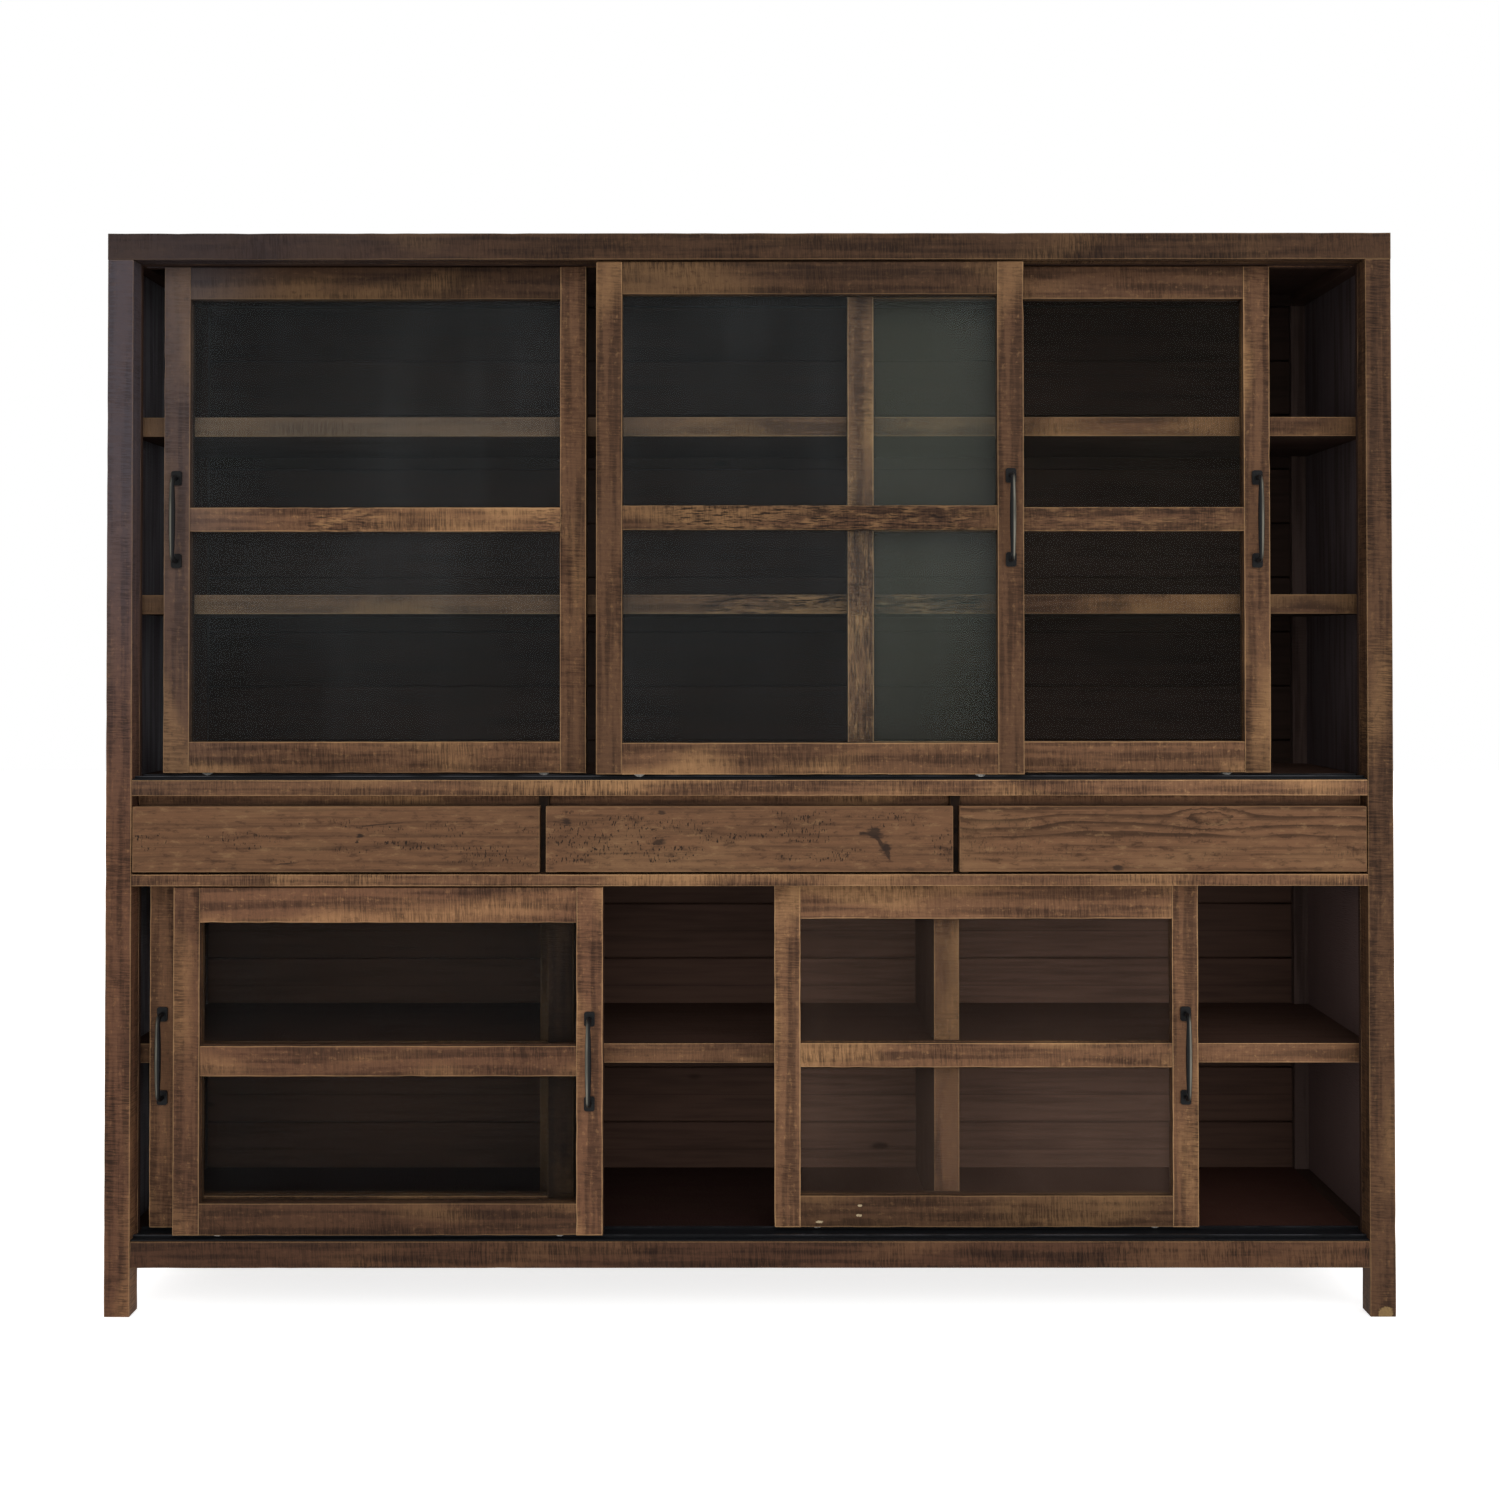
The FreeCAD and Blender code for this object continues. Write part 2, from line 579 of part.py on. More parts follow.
def back_parts():
    """Horizontal boards with chamfered front edges, and the two rails behind them."""
    bottom = BOTTOM_DECK_TOP - BOTTOM_DECK_THICKNESS
    pitch = (POST_TOP - bottom) / BACK_BOARD_COUNT
    planks = []
    for row in range(BACK_BOARD_COUNT):
        height = (bottom + row * pitch, bottom + (row + 1) * pitch)
        plank = board(OPENING, (BACK_BOARD_FACE, BACK_BOARD_REAR), height)
        middle = BACK_BOARD_FACE + BACK_BOARD_THICKNESS / 2
        front_edges = edges_along(plank, FreeCAD.Vector(1, 0, 0), lambda point: point.y < middle)
        planks.append(plank.makeChamfer(BACK_BOARD_CHAMFER, front_edges))
    rail_depth = (BACK_BOARD_REAR, CARCASS_DEPTH)
    rails = [
        board(OPENING, rail_depth, (FOOT_CLEARANCE, BOTTOM_DECK_TOP)),
        board(OPENING, rail_depth, (DRAWER_DECK_BOTTOM, SILL_TOP)),
    ]
    return {"back_boards": planks, "back_rails": rails}


def drawer_bay_parts():
    """The header strip behind the finger gap, the partitions between drawers and the outer side guides."""
    header_depth = (HEADER_SETBACK, HEADER_SETBACK + HEADER_THICKNESS)
    header = board(OPENING, header_depth, (SILL_BOTTOM - HEADER_HEIGHT, SILL_BOTTOM))
    partition_place = (DRAWER_WIDTH + DRAWER_GAP) / 2
    partition_depth = (DRAWER_FRONT_BACK + DRAWER_STOP_GAP, BACK_BOARD_FACE)
    guide = (HALF_OPENING - DRAWER_END_GAP - DRAWER_SIDE_INSET + DRAWER_SIDE_PLAY, PANEL_INSIDE)
    guide_height = (DRAWER_DECK_TOP, DRAWER_DECK_TOP + SIDE_GUIDE_HEIGHT)
    uprights = []
    for turn in (mirrored, tuple):
        across = turn(about(partition_place, PARTITION_THICKNESS))
        uprights.append(board(across, partition_depth, (DRAWER_DECK_TOP, SILL_BOTTOM)).cut(header))
        uprights.append(board(turn(guide), (POST_DEPTH, BACK_POST_FACE), guide_height))
    return {"drawer_header": [header], "drawer_partitions": uprights}


def track_parts():
    """A black double track for each tier: a plate with one rib under each row of doors."""
    plate_depth = (FRONT_TRACK - TRACK_MARGIN, REAR_TRACK + TRACK_MARGIN)
    tracks = []
    for sill in (BOTTOM_DECK_TOP, SILL_TOP):
        track = board(OPENING, plate_depth, (sill, sill + TRACK_PLATE))
        ribs = [
            board(OPENING, about(middle, RIB_WIDTH), (sill, sill + RIB_HEIGHT))
            for middle in (FRONT_TRACK, REAR_TRACK)
        ]
        tracks.append(track.fuse(ribs).removeSplitter())
    return {"door_tracks": tracks}


def carcass_parts():
    """Every fixed node of the carcass."""
    posts = post_boards()
    levels = level_parts(list(posts.values()))
    housed = levels["upper_deck"] + levels["drawer_deck"] + levels["upper_shelves"] + levels["lower_shelves"]
    parts = {name: [post] for name, post in posts.items()}
    parts.update(levels)
    parts.update(top_parts())
    parts.update(side_parts(housed))
    parts.update(back_parts())
    parts.update(drawer_bay_parts())
    parts.update(track_parts())
    return parts


def main():
    """Builds every node with the posts' front plane at Y 0, and writes each to a STEP file about the origin."""
    os.makedirs("parts", exist_ok=True)
    parts = carcass_parts()
    parts.update(door_parts())
    parts.update(drawer_parts())
    for name, pieces in parts.items():
        solids = [placed(solid, 0, FRONT_Y, 0) for piece in pieces for solid in piece.Solids]
        shape = solids[0] if len(solids) == 1 else Part.makeCompound(solids)
        shape.exportStep("parts/" + name + ".step")
        print(name, len(solids), "valid" if shape.isValid() else "NOT VALID", round(shape.Volume))


main()
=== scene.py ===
"""Looks of a wide two-tier dresser: sawn and planed timber, panes, iron pulls and tracks, and the studio."""

import json
import logging
import math
import random
from collections import defaultdict
from collections.abc import Sequence
from dataclasses import dataclass, field, replace
from enum import Enum
from typing import TypeAlias

import bmesh
import bpy
from mathutils import Euler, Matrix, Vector, noise

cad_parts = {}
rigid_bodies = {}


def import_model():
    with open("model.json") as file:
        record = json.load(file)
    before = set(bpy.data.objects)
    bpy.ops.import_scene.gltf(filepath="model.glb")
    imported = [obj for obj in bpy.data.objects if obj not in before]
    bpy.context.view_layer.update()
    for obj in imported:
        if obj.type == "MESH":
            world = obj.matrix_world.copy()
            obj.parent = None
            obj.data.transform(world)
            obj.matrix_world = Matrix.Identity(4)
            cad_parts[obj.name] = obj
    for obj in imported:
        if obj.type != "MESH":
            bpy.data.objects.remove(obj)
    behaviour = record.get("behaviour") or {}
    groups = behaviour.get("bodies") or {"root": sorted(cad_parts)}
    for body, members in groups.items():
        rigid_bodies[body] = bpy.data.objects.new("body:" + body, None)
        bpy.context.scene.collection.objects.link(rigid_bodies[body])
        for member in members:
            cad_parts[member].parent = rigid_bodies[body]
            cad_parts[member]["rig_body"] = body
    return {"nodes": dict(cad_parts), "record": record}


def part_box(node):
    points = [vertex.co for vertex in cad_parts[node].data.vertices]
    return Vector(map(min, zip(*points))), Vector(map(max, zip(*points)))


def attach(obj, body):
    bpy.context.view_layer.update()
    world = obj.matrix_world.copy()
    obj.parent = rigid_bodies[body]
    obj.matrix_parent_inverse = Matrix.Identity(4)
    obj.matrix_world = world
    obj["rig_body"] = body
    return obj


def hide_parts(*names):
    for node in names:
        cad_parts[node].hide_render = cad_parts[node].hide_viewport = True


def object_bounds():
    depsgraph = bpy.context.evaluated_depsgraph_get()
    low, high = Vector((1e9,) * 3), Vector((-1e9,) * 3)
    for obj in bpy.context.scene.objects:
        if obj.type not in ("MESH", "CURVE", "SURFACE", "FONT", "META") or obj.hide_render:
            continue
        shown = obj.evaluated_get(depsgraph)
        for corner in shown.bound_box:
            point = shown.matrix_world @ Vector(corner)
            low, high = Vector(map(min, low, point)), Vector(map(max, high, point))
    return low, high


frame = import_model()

CAD_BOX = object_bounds()
LOG = logging.getLogger("dresser")
MILLIMETRE = 0.001

Span: TypeAlias = tuple[float, float]
Triple: TypeAlias = tuple[float, float, float]
Colour: TypeAlias = Triple
Value: TypeAlias = "Sock | float"
Spot: TypeAlias = tuple[float, ...]

WHITE: Colour = (1.0, 1.0, 1.0)
EVERYWHERE: Span = (-3.0, -2.9)


class Sock:
    """A node's output with arithmetic: an expression on sockets adds the Math nodes that work it out."""

    def __init__(self, bench: "Bench", socket: bpy.types.NodeSocket) -> None:
        """Keeps the socket and the bench that it belongs to."""
        self.bench = bench
        self.socket = socket

    def math(self, operation: str, *others: Value) -> "Sock":
        """The result of a Math node that takes this value first."""
        inputs = dict(enumerate((self, *others)))
        return self.bench.make("ShaderNodeMath", {"operation": operation}, inputs)

    def __add__(self, other: Value) -> "Sock":
        """This value plus another."""
        return self.math("ADD", other)

    def __radd__(self, other: float) -> "Sock":
        """A number plus this value."""
        return self.math("ADD", other)

    def __sub__(self, other: Value) -> "Sock":
        """This value less another."""
        return self.math("SUBTRACT", other)

    def __rsub__(self, other: float) -> "Sock":
        """A number less this value."""
        return self.math("MULTIPLY_ADD", -1.0, other)

    def __mul__(self, other: Value) -> "Sock":
        """This value times another."""
        return self.math("MULTIPLY", other)

    def __rmul__(self, other: float) -> "Sock":
        """A number times this value."""
        return self.math("MULTIPLY", other)

    def __truediv__(self, other: Value) -> "Sock":
        """This value over another."""
        return self.math("DIVIDE", other)

    def __rtruediv__(self, other: float) -> "Sock":
        """A number over this value."""
        return self.math("POWER", -1.0) * other

    def __neg__(self) -> "Sock":
        """This value with its sign changed."""
        return self.math("MULTIPLY", -1.0)

    def least(self, other: Value) -> "Sock":
        """The smaller of two values."""
        return self.math("MINIMUM", other)

    def most(self, other: Value) -> "Sock":
        """The larger of two values."""
        return self.math("MAXIMUM", other)

    def size(self) -> "Sock":
        """This value without its sign."""
        return self.math("ABSOLUTE")

    def sine(self) -> "Sock":
        """The sine of this value in radians."""
        return self.math("SINE")

    def root(self) -> "Sock":
        """The square root of this value."""
        return self.math("SQRT")

    def fraction(self) -> "Sock":
        """What this value has past its last whole number."""
        return self.math("FRACT")

    def ramp(self, start: float, end: float) -> "Sock":
        """A smooth step from 0 at start to 1 at end, falling where end is the smaller."""
        inputs = {"Value": self, "From Min": start, "From Max": end}
        return self.bench.make("ShaderNodeMapRange", {"interpolation_type": "SMOOTHSTEP"}, inputs)

    def between(self, low: float, high: float) -> "Sock":
        """The number that lies this share of the way from low to high."""
        return self * (high - low) + low

    def parts(self) -> tuple["Sock", "Sock", "Sock"]:
        """The three numbers of a vector."""
        split = self.bench.make("ShaderNodeSeparateXYZ", inputs={"Vector": self})
        return tuple(Sock(self.bench, output) for output in split.socket.node.outputs)


def largest(masks: Sequence[Sock]) -> Sock:
    """The largest of several values at each point.

    Args:
        masks: The values, at least one.

    Returns:
        The largest.
    """
    found = masks[0]
    for mask in masks[1:]:
        found = found.most(mask)
    return found


class Bench:
    """The node tree of one material or world, with short ways to add nodes."""

    def __init__(self, owner: bpy.types.Material | bpy.types.World) -> None:
        """Clears the owner's tree for a new one.

        Args:
            owner: The material or world.
        """
        owner.use_nodes = True
        self.tree = owner.node_tree
        self.tree.nodes.clear()

    def make(self, kind: str, settings: dict | None = None, inputs: dict | None = None,
             output: int | str = 0) -> Sock | None:
        """Adds one node.

        Args:
            kind: The node's type.
            settings: Properties, which are set first.
            inputs: Values or links by the socket's identifier, name or place.
            output: The identifier, name or place of the output wanted.

        Returns:
            That output, or None from a node that ends a tree.
        """
        node = self.tree.nodes.new(kind)
        for name, setting in (settings or {}).items():
            setattr(node, name, setting)
        for key, value in (inputs or {}).items():
            socket = self.find(node.inputs, key)
            if isinstance(value, Sock):
                self.tree.links.new(value.socket, socket)
            else:
                socket.default_value = (*value, 1.0) if socket.type == "RGBA" else value
        return Sock(self, self.find(node.outputs, output)) if node.outputs else None

    @staticmethod
    def find(sockets: Sequence[bpy.types.NodeSocket], key: int | str) -> bpy.types.NodeSocket:
        """The socket that has this identifier or, failing that, this name or place."""
        by_identifier = {socket.identifier: socket for socket in sockets}
        return by_identifier[key] if key in by_identifier else sockets[key]

    def place(self) -> Sock:
        """The point in the object's own frame, which is the CAD frame at rest."""
        return self.make("ShaderNodeTexCoord", output="Object")

    def facing(self) -> Sock:
        """The direction that the surface faces."""
        return self.make("ShaderNodeNewGeometry", output="Normal")

    def vector(self, x: Value, y: Value, z: Value) -> Sock:
        """Three numbers as a vector."""
        return self.make("ShaderNodeCombineXYZ", inputs={"X": x, "Y": y, "Z": z})

    def attribute(self, name: str) -> Sock:
        """A vector that the mesh stores at its points."""
        return self.make("ShaderNodeAttribute", {"attribute_name": name}, output="Vector")

    def noise(self, place: Sock, detail: float = 2.0, rough: float = 0.5, output: str = "Fac") -> Sock:
        """Smooth noise from 0 to 1 over a place that is already scaled."""
        inputs = {"Vector": place, "Scale": 1.0, "Detail": detail, "Roughness": rough}
        return self.make("ShaderNodeTexNoise", inputs=inputs, output=output)

    def speckle(self, grit: "Grit") -> Sock:
        """Smooth noise over the object's own frame.

        Args:
            grit: Its proportions.

        Returns:
            The noise, from 0 to 1.
        """
        inputs = {0: self.place(), 1: grit.scale}
        place = self.make("ShaderNodeVectorMath", {"operation": "MULTIPLY"}, inputs)
        return self.noise(place, grit.detail, grit.rough)

    def lines(self, place: Sock, detail: float = 1.0) -> Sock:
        """Noise along one number, which makes bars across it."""
        inputs = {"W": place, "Scale": 1.0, "Detail": detail}
        return self.make("ShaderNodeTexNoise", {"noise_dimensions": "1D"}, inputs)

    def cells(self, place: Sock) -> Sock:
        """The distance to the nearest of many scattered points."""
        return self.make("ShaderNodeTexVoronoi", inputs={"Vector": place, "Scale": 1.0})

    def mix(self, share: Value, first: Sock | Colour, second: Sock | Colour, blend: str = "MIX") -> Sock:
        """Two colours mixed.

        Args:
            share: The second colour's part, from 0 to 1.
            first: The colour at 0.
            second: The colour at 1.
            blend: How the second colour acts on the first.

        Returns:
            The mixed colour.
        """
        settings = {"data_type": "RGBA", "blend_type": blend, "clamp_factor": True}
        inputs = {"Factor_Float": share, "A_Color": first, "B_Color": second}
        return self.make("ShaderNodeMix", settings, inputs, output="Result_Color")

    def layered(self, base: Sock | Colour, layers: Sequence[tuple[Value, Sock | Colour]]) -> Sock | Colour:
        """A colour with others laid over it in turn.

        Args:
            base: The colour underneath.
            layers: The share of each other colour, and that colour.

        Returns:
            What shows on top.
        """
        for share, colour in layers:
            base = self.mix(share, base, colour)
        return base

    def scaled(self, colour: Sock | Colour, by: Sock) -> Sock:
        """A colour times a number."""
        return self.mix(1.0, colour, by, "MULTIPLY")

    def bump(self, height: Sock, distance: float, strength: float) -> Sock:
        """A normal from a height of 0 to 1 that stands for a distance."""
        inputs = {"Height": height, "Distance": distance, "Strength": strength}
        return self.make("ShaderNodeBump", inputs=inputs)

    def surface(self, shader: Sock) -> None:
        """Ends the tree with a shader."""
        self.make("ShaderNodeOutputMaterial", inputs={"Surface": shader})

    def opaque(self, inputs: dict[str, Sock | float | Colour]) -> None:
        """Ends the tree with a solid surface, which is given by its sockets."""
        self.surface(self.make("ShaderNodeBsdfPrincipled", inputs=inputs))

    def seen_rays(self) -> Sock:
        """1 for rays from the camera and for those that mirrors and panes send on, and 0 for light.

        Returns:
            That mask.
        """
        path = self.make("ShaderNodeLightPath").socket.node.outputs
        names = ("Is Camera Ray", "Is Glossy Ray", "Is Transmission Ray")
        return largest([Sock(self, path[name]) for name in names])


class Stored(Enum):
    """What a board's mesh stores at its points."""

    PLACE = "board_place"
    HALF = "board_half"
    TONE = "board_tone"


class Row(Enum):
    """Which of the two tracks a door runs on."""

    FRONT = "front row"
    REAR = "rear row"


@dataclass(frozen=True)
class Pattern:
    """Noise on a board: how close it lies along and across the fibres, its detail, and its shift by board."""

    along: float
    across: float
    detail: float = 2.0
    rough: float = 0.5
    shift: Triple = (1.0, 0.0, 0.0)


@dataclass(frozen=True)
class Grit:
    """Noise in the object's own frame: how close it lies along the three axes, and its detail."""

    scale: Triple
    detail: float = 2.0
    rough: float = 0.5


class BoardPoint:
    """The shaded point's place on its board, with the board's own tone and noise offset."""

    def __init__(self, bench: Bench) -> None:
        """Reads what the mesh stores at its points.

        Args:
            bench: The tree that the readings go into.
        """
        self.bench = bench
        self.along, self.across, self.deep = bench.attribute(Stored.PLACE.value).parts()
        self.halves = bench.attribute(Stored.HALF.value).parts()
        tone, self.drift, slope = bench.attribute(Stored.TONE.value).parts()
        self.tone = tone + slope * self.along / self.halves[0]

    def spread(self, pattern: Pattern, along: Sock | None = None) -> Sock:
        """The point in a pattern's proportions.

        Args:
            pattern: The pattern.
            along: The place along the board, where it isn't the point's own.

        Returns:
            A place for noise or cells.
        """
        run = self.along if along is None else along
        place = (run * pattern.along, self.across * pattern.across, self.deep * pattern.across)
        moved = [number + self.drift * by if by else number for number, by in zip(place, pattern.shift)]
        return self.bench.vector(*moved)

    def noise(self, pattern: Pattern, along: Sock | None = None, output: str = "Fac") -> Sock:
        """Noise from 0 to 1 in a pattern's proportions."""
        return self.bench.noise(self.spread(pattern, along), pattern.detail, pattern.rough, output)

    def edge(self) -> Sock:
        """How far the point lies from the nearest arris.

        Returns:
            The second smallest of its distances to the board's faces.
        """
        place = (self.along, self.across, self.deep)
        gaps = [half - number.size() for number, half in zip(place, self.halves)]
        total = gaps[0] + gaps[1] + gaps[2]
        return total - gaps[0].least(gaps[1]).least(gaps[2]) - largest(gaps)


@dataclass(frozen=True)
class Arris:
    """How the edges of a board are worn: their flat, how deep the wear goes and how close its waves lie."""

    flat: float = 0.0014
    wear: float = 0.0008
    wave: float = 0.03


@dataclass(frozen=True)
class Knot:
    """A knot or grain eye on a board: its place from the board's middle, its size, stretch and darkness."""

    along: float
    across: float
    radius: float
    stretch: float = 1.3
    darkness: float = 0.8

    def reach(self, along: Sock, across: Sock) -> Sock:
        """The distance from the knot's middle, drawn in along the board by its stretch.

        Args:
            along: The place along the board.
            across: The place across it.

        Returns:
            The distance in metres.
        """
        run = (along - self.along) / self.stretch
        rise = across - self.across
        return (run * run + rise * rise).root()


@dataclass(frozen=True)
class Crack:
    """A thin split: where it starts and ends, along and across the board, and its width."""

    start: Span
    end: Span
    width: float = 0.0011
    taper: float = 0.22
    core: float = 0.4

    def mask(self, along: Sock, across: Sock) -> Sock:
        """Where the split is.

        Args:
            along: The place along the board.
            across: The place across it.

        Returns:
            1 in the split.
        """
        run = self.end[0] - self.start[0]
        slope = (self.end[1] - self.start[1]) / run
        off = (across - self.start[1] - (along - self.start[0]) * slope).size()
        fade = run * self.taper
        ends = along.ramp(self.start[0], self.start[0] + fade) * along.ramp(self.end[0], self.end[0] - fade)
        return off.ramp(self.width, self.width * self.core) * ends


@dataclass(frozen=True)
class Chip:
    """A spot where the stain has flaked off to bare wood: its place in the frame and its half sizes."""

    place: Vector
    reach: Triple
    ragged: float = 1.6
    rim: Span = (0.9, 0.6)

    def mask(self, point: Sequence[Sock], flakes: Sock) -> Sock:
        """Where the wood is bare.

        Args:
            point: The point's three numbers in the frame.
            flakes: The noise that the spot's edge follows.

        Returns:
            1 on the bare spot.
        """
        away = [(number - middle) / reach for number, middle, reach in zip(point, self.place, self.reach)]
        far = away[0] * away[0] + away[1] * away[1] + away[2] * away[2]
        return (far + (flakes - 0.5) * self.ragged).ramp(*self.rim)


@dataclass(frozen=True)
class Interior:
    """The room inside the carcass, where the colour is nearly black, a darker stain with painted shade: its
    lowest and highest corners.
    """

    low: Vector
    high: Vector
    soft: float = 0.002
    front_step: Span = (0.5, 0.8)

    def mask(self, bench: Bench) -> Sock:
        """Which faces lie inside the carcass and get the painted shade, without the front edges of the boards
        in its front half, which keep the lit colour of the front.

        Args:
            bench: The tree that the mask goes into.

        Returns:
            1 inside.
        """
        place = bench.place().parts()
        forward = (-bench.facing().parts()[1]).ramp(*self.front_step)
        middle = (self.low.y + self.high.y) / 2
        inside = 1.0 - forward * place[1].ramp(middle + self.soft, middle)
        for number, low, high in zip(place, self.low, self.high):
            inside = inside * number.ramp(low - self.soft, low) * number.ramp(high + self.soft, high)
        return inside


@dataclass(frozen=True)
class Toning:
    """A part of the object with another colour: where that begins and where it is full, across and up."""

    colour: Colour
    across: Span
    height: Span
    share: float = 0.8

    def mask(self, bench: Bench) -> Sock:
        """The share of the other colour."""
        x, _, z = bench.place().parts()
        return x.ramp(*self.across) * z.ramp(*self.height) * self.share


@dataclass(frozen=True)
class Weathering:
    """A stretch of a board that is split along the grain and patchy: its ends across and up."""

    across: Span
    height: Span
    strength: float = 1.0
    soft: float = 0.03

    @classmethod
    def on(cls, node: str, across: Span, height: Span, strength: float = 1.0,
           soft: float = 0.03) -> "Weathering":
        """A stretch whose ends are given from the lowest corner of a CAD node.

        Args:
            node: The node.
            across: The ends across.
            height: The ends upwards.
            strength: How weathered it is, from 0 to 1.
            soft: Half the length over which it begins and ends.

        Returns:
            The stretch in the frame.
        """
        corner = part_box(node)[0]
        left, right = (corner.x + end for end in across)
        low, high = (corner.z + end for end in height)
        return cls((left, right), (low, high), strength, soft)

    def mask(self, bench: Bench) -> Sock:
        """Where the stretch is.

        Args:
            bench: The tree that the mask goes into.

        Returns:
            The strength inside the stretch, and 0 outside it.
        """
        x, _, z = bench.place().parts()
        left, right = self.across
        low, high = self.height
        within = x.ramp(left - self.soft, left + self.soft) * x.ramp(right + self.soft, right - self.soft)
        return within * z.ramp(low - MILLIMETRE, low) * z.ramp(high + MILLIMETRE, high) * self.strength


@dataclass(frozen=True)
class Finish:
    """What every finish has: a name, and a material made from it once."""

    name: str

    def dress(self, bench: Bench) -> None:
        """Fills the material's node tree."""
        raise NotImplementedError

    def material(self) -> bpy.types.Material:
        """The finish's material, made the first time that it is asked for.

        Returns:
            The material.
        """
        found = bpy.data.materials.get(self.name)
        if found is None:
            found = bpy.data.materials.new(self.name)
            self.dress(Bench(found))
        return found


@dataclass(frozen=True)
class SawnTimber(Finish):
    """Rough-sawn pine under a dark stain: saw marks across the board, streaks, patches and rubbed arrises,
    with painted shade inside the carcass and on sideways faces, and a toning laid over it that mostly paints
    shade.
    """

    dark: Colour = (0.0295, 0.015, 0.0096)
    stain: Colour = (0.147, 0.0735, 0.0384)
    rubbed: Colour = (0.372, 0.203, 0.091)
    arris: Colour = (0.45, 0.265, 0.126)
    # inner: the colour inside the carcass, a darker stain with painted shade
    inner: Colour = (0.05, 0.0265, 0.019)
    split: Colour = (0.012, 0.007, 0.005)
    bare: Colour = (0.72, 0.58, 0.36)
    saw: float = 0.75
    rub: float = 0.6
    arris_rub: float = 0.85
    blotch: float = 0.45
    side_shade: float = 0.0
    shine: float = 0.12
    chips: tuple[Chip, ...] = ()
    weathered: tuple[Weathering, ...] = ()
    interior: Interior | None = None
    # a toning laid over the colour: painted shade on the upper left of the carcass, the top rail, the drawer
    # header and the upper left door, and a paler grey on the upper left of the shelves' edges
    shade_and_tone: Toning | None = None
    # inner_toning: a toning over the inner colour, which here paints light
    inner_toning: Toning | None = None
    streaks: Pattern = Pattern(3.5, 62.0, 3.0, 0.6, (1.0, 1.0, 0.0))
    patches: Pattern = Pattern(7.0, 15.0, 2.0, 0.6, (1.0, 0.0, 1.0))
    clouds: Pattern = Pattern(3.2, 9.0, 2.0, 0.55, (0.0, 1.0, -1.0))
    ticks: Pattern = Pattern(450.0, 33.0, 2.0, 0.6)
    mottles: Pattern = Pattern(75.0, 120.0, 4.0, 0.7)
    flakes: Pattern = Pattern(260.0, 260.0, 2.0, 0.6, (0.0, 0.0, 0.0))
    splits: Pattern = Pattern(30.0, 330.0, 3.0, 0.7)
    lumps: Pattern = Pattern(22.0, 75.0, 3.0, 0.65, (-1.0, 0.0, 0.0))
    band_step: Span = (0.42, 0.62)
    band_share: float = 0.5
    saw_lean: float = 0.05
    saw_waver: float = 0.0022
    tick_step: Span = (0.45, 0.6)
    tick_patch: Span = (0.4, 0.66)
    tick_shares: Triple = (0.45, 0.5, 0.25)
    stroke_pitch: float = 120.0
    stroke_shift: float = 11.0
    stroke_step: Span = (0.6, 0.76)
    stroke_patch: Span = (0.45, 0.62)
    stroke_share: float = 0.6
    cloud_step: Span = (0.48, 0.68)
    light_mottle: Span = (0.54, 0.72)
    dark_mottle: Span = (0.46, 0.3)
    dark_mottle_share: float = 1.5
    blotch_step: Span = (0.58, 0.76)
    wear_step: Span = (0.0019, 0.0008)
    wear_waver: float = 0.003
    light_floor: float = 0.15
    dark_floor: float = 0.1
    wear_mix: Span = (0.7, 0.5)
    pale_lump: Span = (0.52, 0.32)
    dark_lump: Span = (0.5, 0.7)
    split_step: Span = (0.5, 0.6)
    weather_shares: Triple = (0.6, 0.5, 0.9)
    flake_stain: float = 0.7
    mark_keep: float = 0.4
    side_shade_step: Span = (0.8, 0.3)
    streak_relief: float = 0.3
    roughness: Span = (0.58, 0.78)
    relief: Span = (0.0006, 0.8)

    def dress(self, bench: Bench) -> None:
        """Fills the material's node tree.

        Args:
            bench: The tree, which is empty.
        """
        point = BoardPoint(bench)
        streak = point.noise(self.streaks)
        patch = point.noise(self.patches)
        bands = streak.ramp(*self.band_step)
        marks = self.saw_marks(point, streak, bands, patch)
        colour = bench.scaled(self.stained(point, bands, patch, marks), point.tone)
        # the toning paints shade over the stain, keeping part of the saw marks
        if self.shade_and_tone:
            share = self.shade_and_tone.mask(bench) * (1.0 - marks * self.mark_keep)
            colour = bench.mix(share, colour, self.shade_and_tone.colour)
        # painted shade: faces that face sideways, away from the front, are darkened towards the dark stain
        if self.side_shade:
            faces_front = bench.facing().parts()[1].size()
            colour = bench.mix(faces_front.ramp(*self.side_shade_step) * self.side_shade, colour, self.dark)
        if self.chips:
            colour = self.chipped(point, colour)
        # painted shade: faces inside the carcass take the nearly black inner colour
        if self.interior:
            colour = bench.mix(self.interior.mask(bench), colour, self.shaded_inside(point, bands))
        bench.opaque({
            "Base Color": colour,
            "Roughness": patch.between(*self.roughness),
            "Specular IOR Level": self.shine,
            "Normal": bench.bump(streak * self.streak_relief - marks, *self.relief),
        })

    def saw_marks(self, point: BoardPoint, streak: Sock, bands: Sock, patch: Sock) -> Sock:
        """The fine ticks and the longer strokes that the saw left across the board.

        Args:
            point: The point on the board.
            streak: The noise along the fibres.
            bands: 1 in the dark streaks.
            patch: The noise in patches.

        Returns:
            1 in a mark.
        """
        lean = point.along + point.across * self.saw_lean + (streak - 0.5) * self.saw_waver
        in_bands, in_patches, anywhere = self.tick_shares
        often = bands * in_bands + patch.ramp(*self.tick_patch) * in_patches + anywhere
        ticks = point.noise(self.ticks, lean).ramp(*self.tick_step) * often
        strokes = point.bench.lines(lean * self.stroke_pitch + point.drift * self.stroke_shift)
        strokes = strokes.ramp(*self.stroke_step) * patch.ramp(*self.stroke_patch) * self.stroke_share
        return ticks.most(strokes)

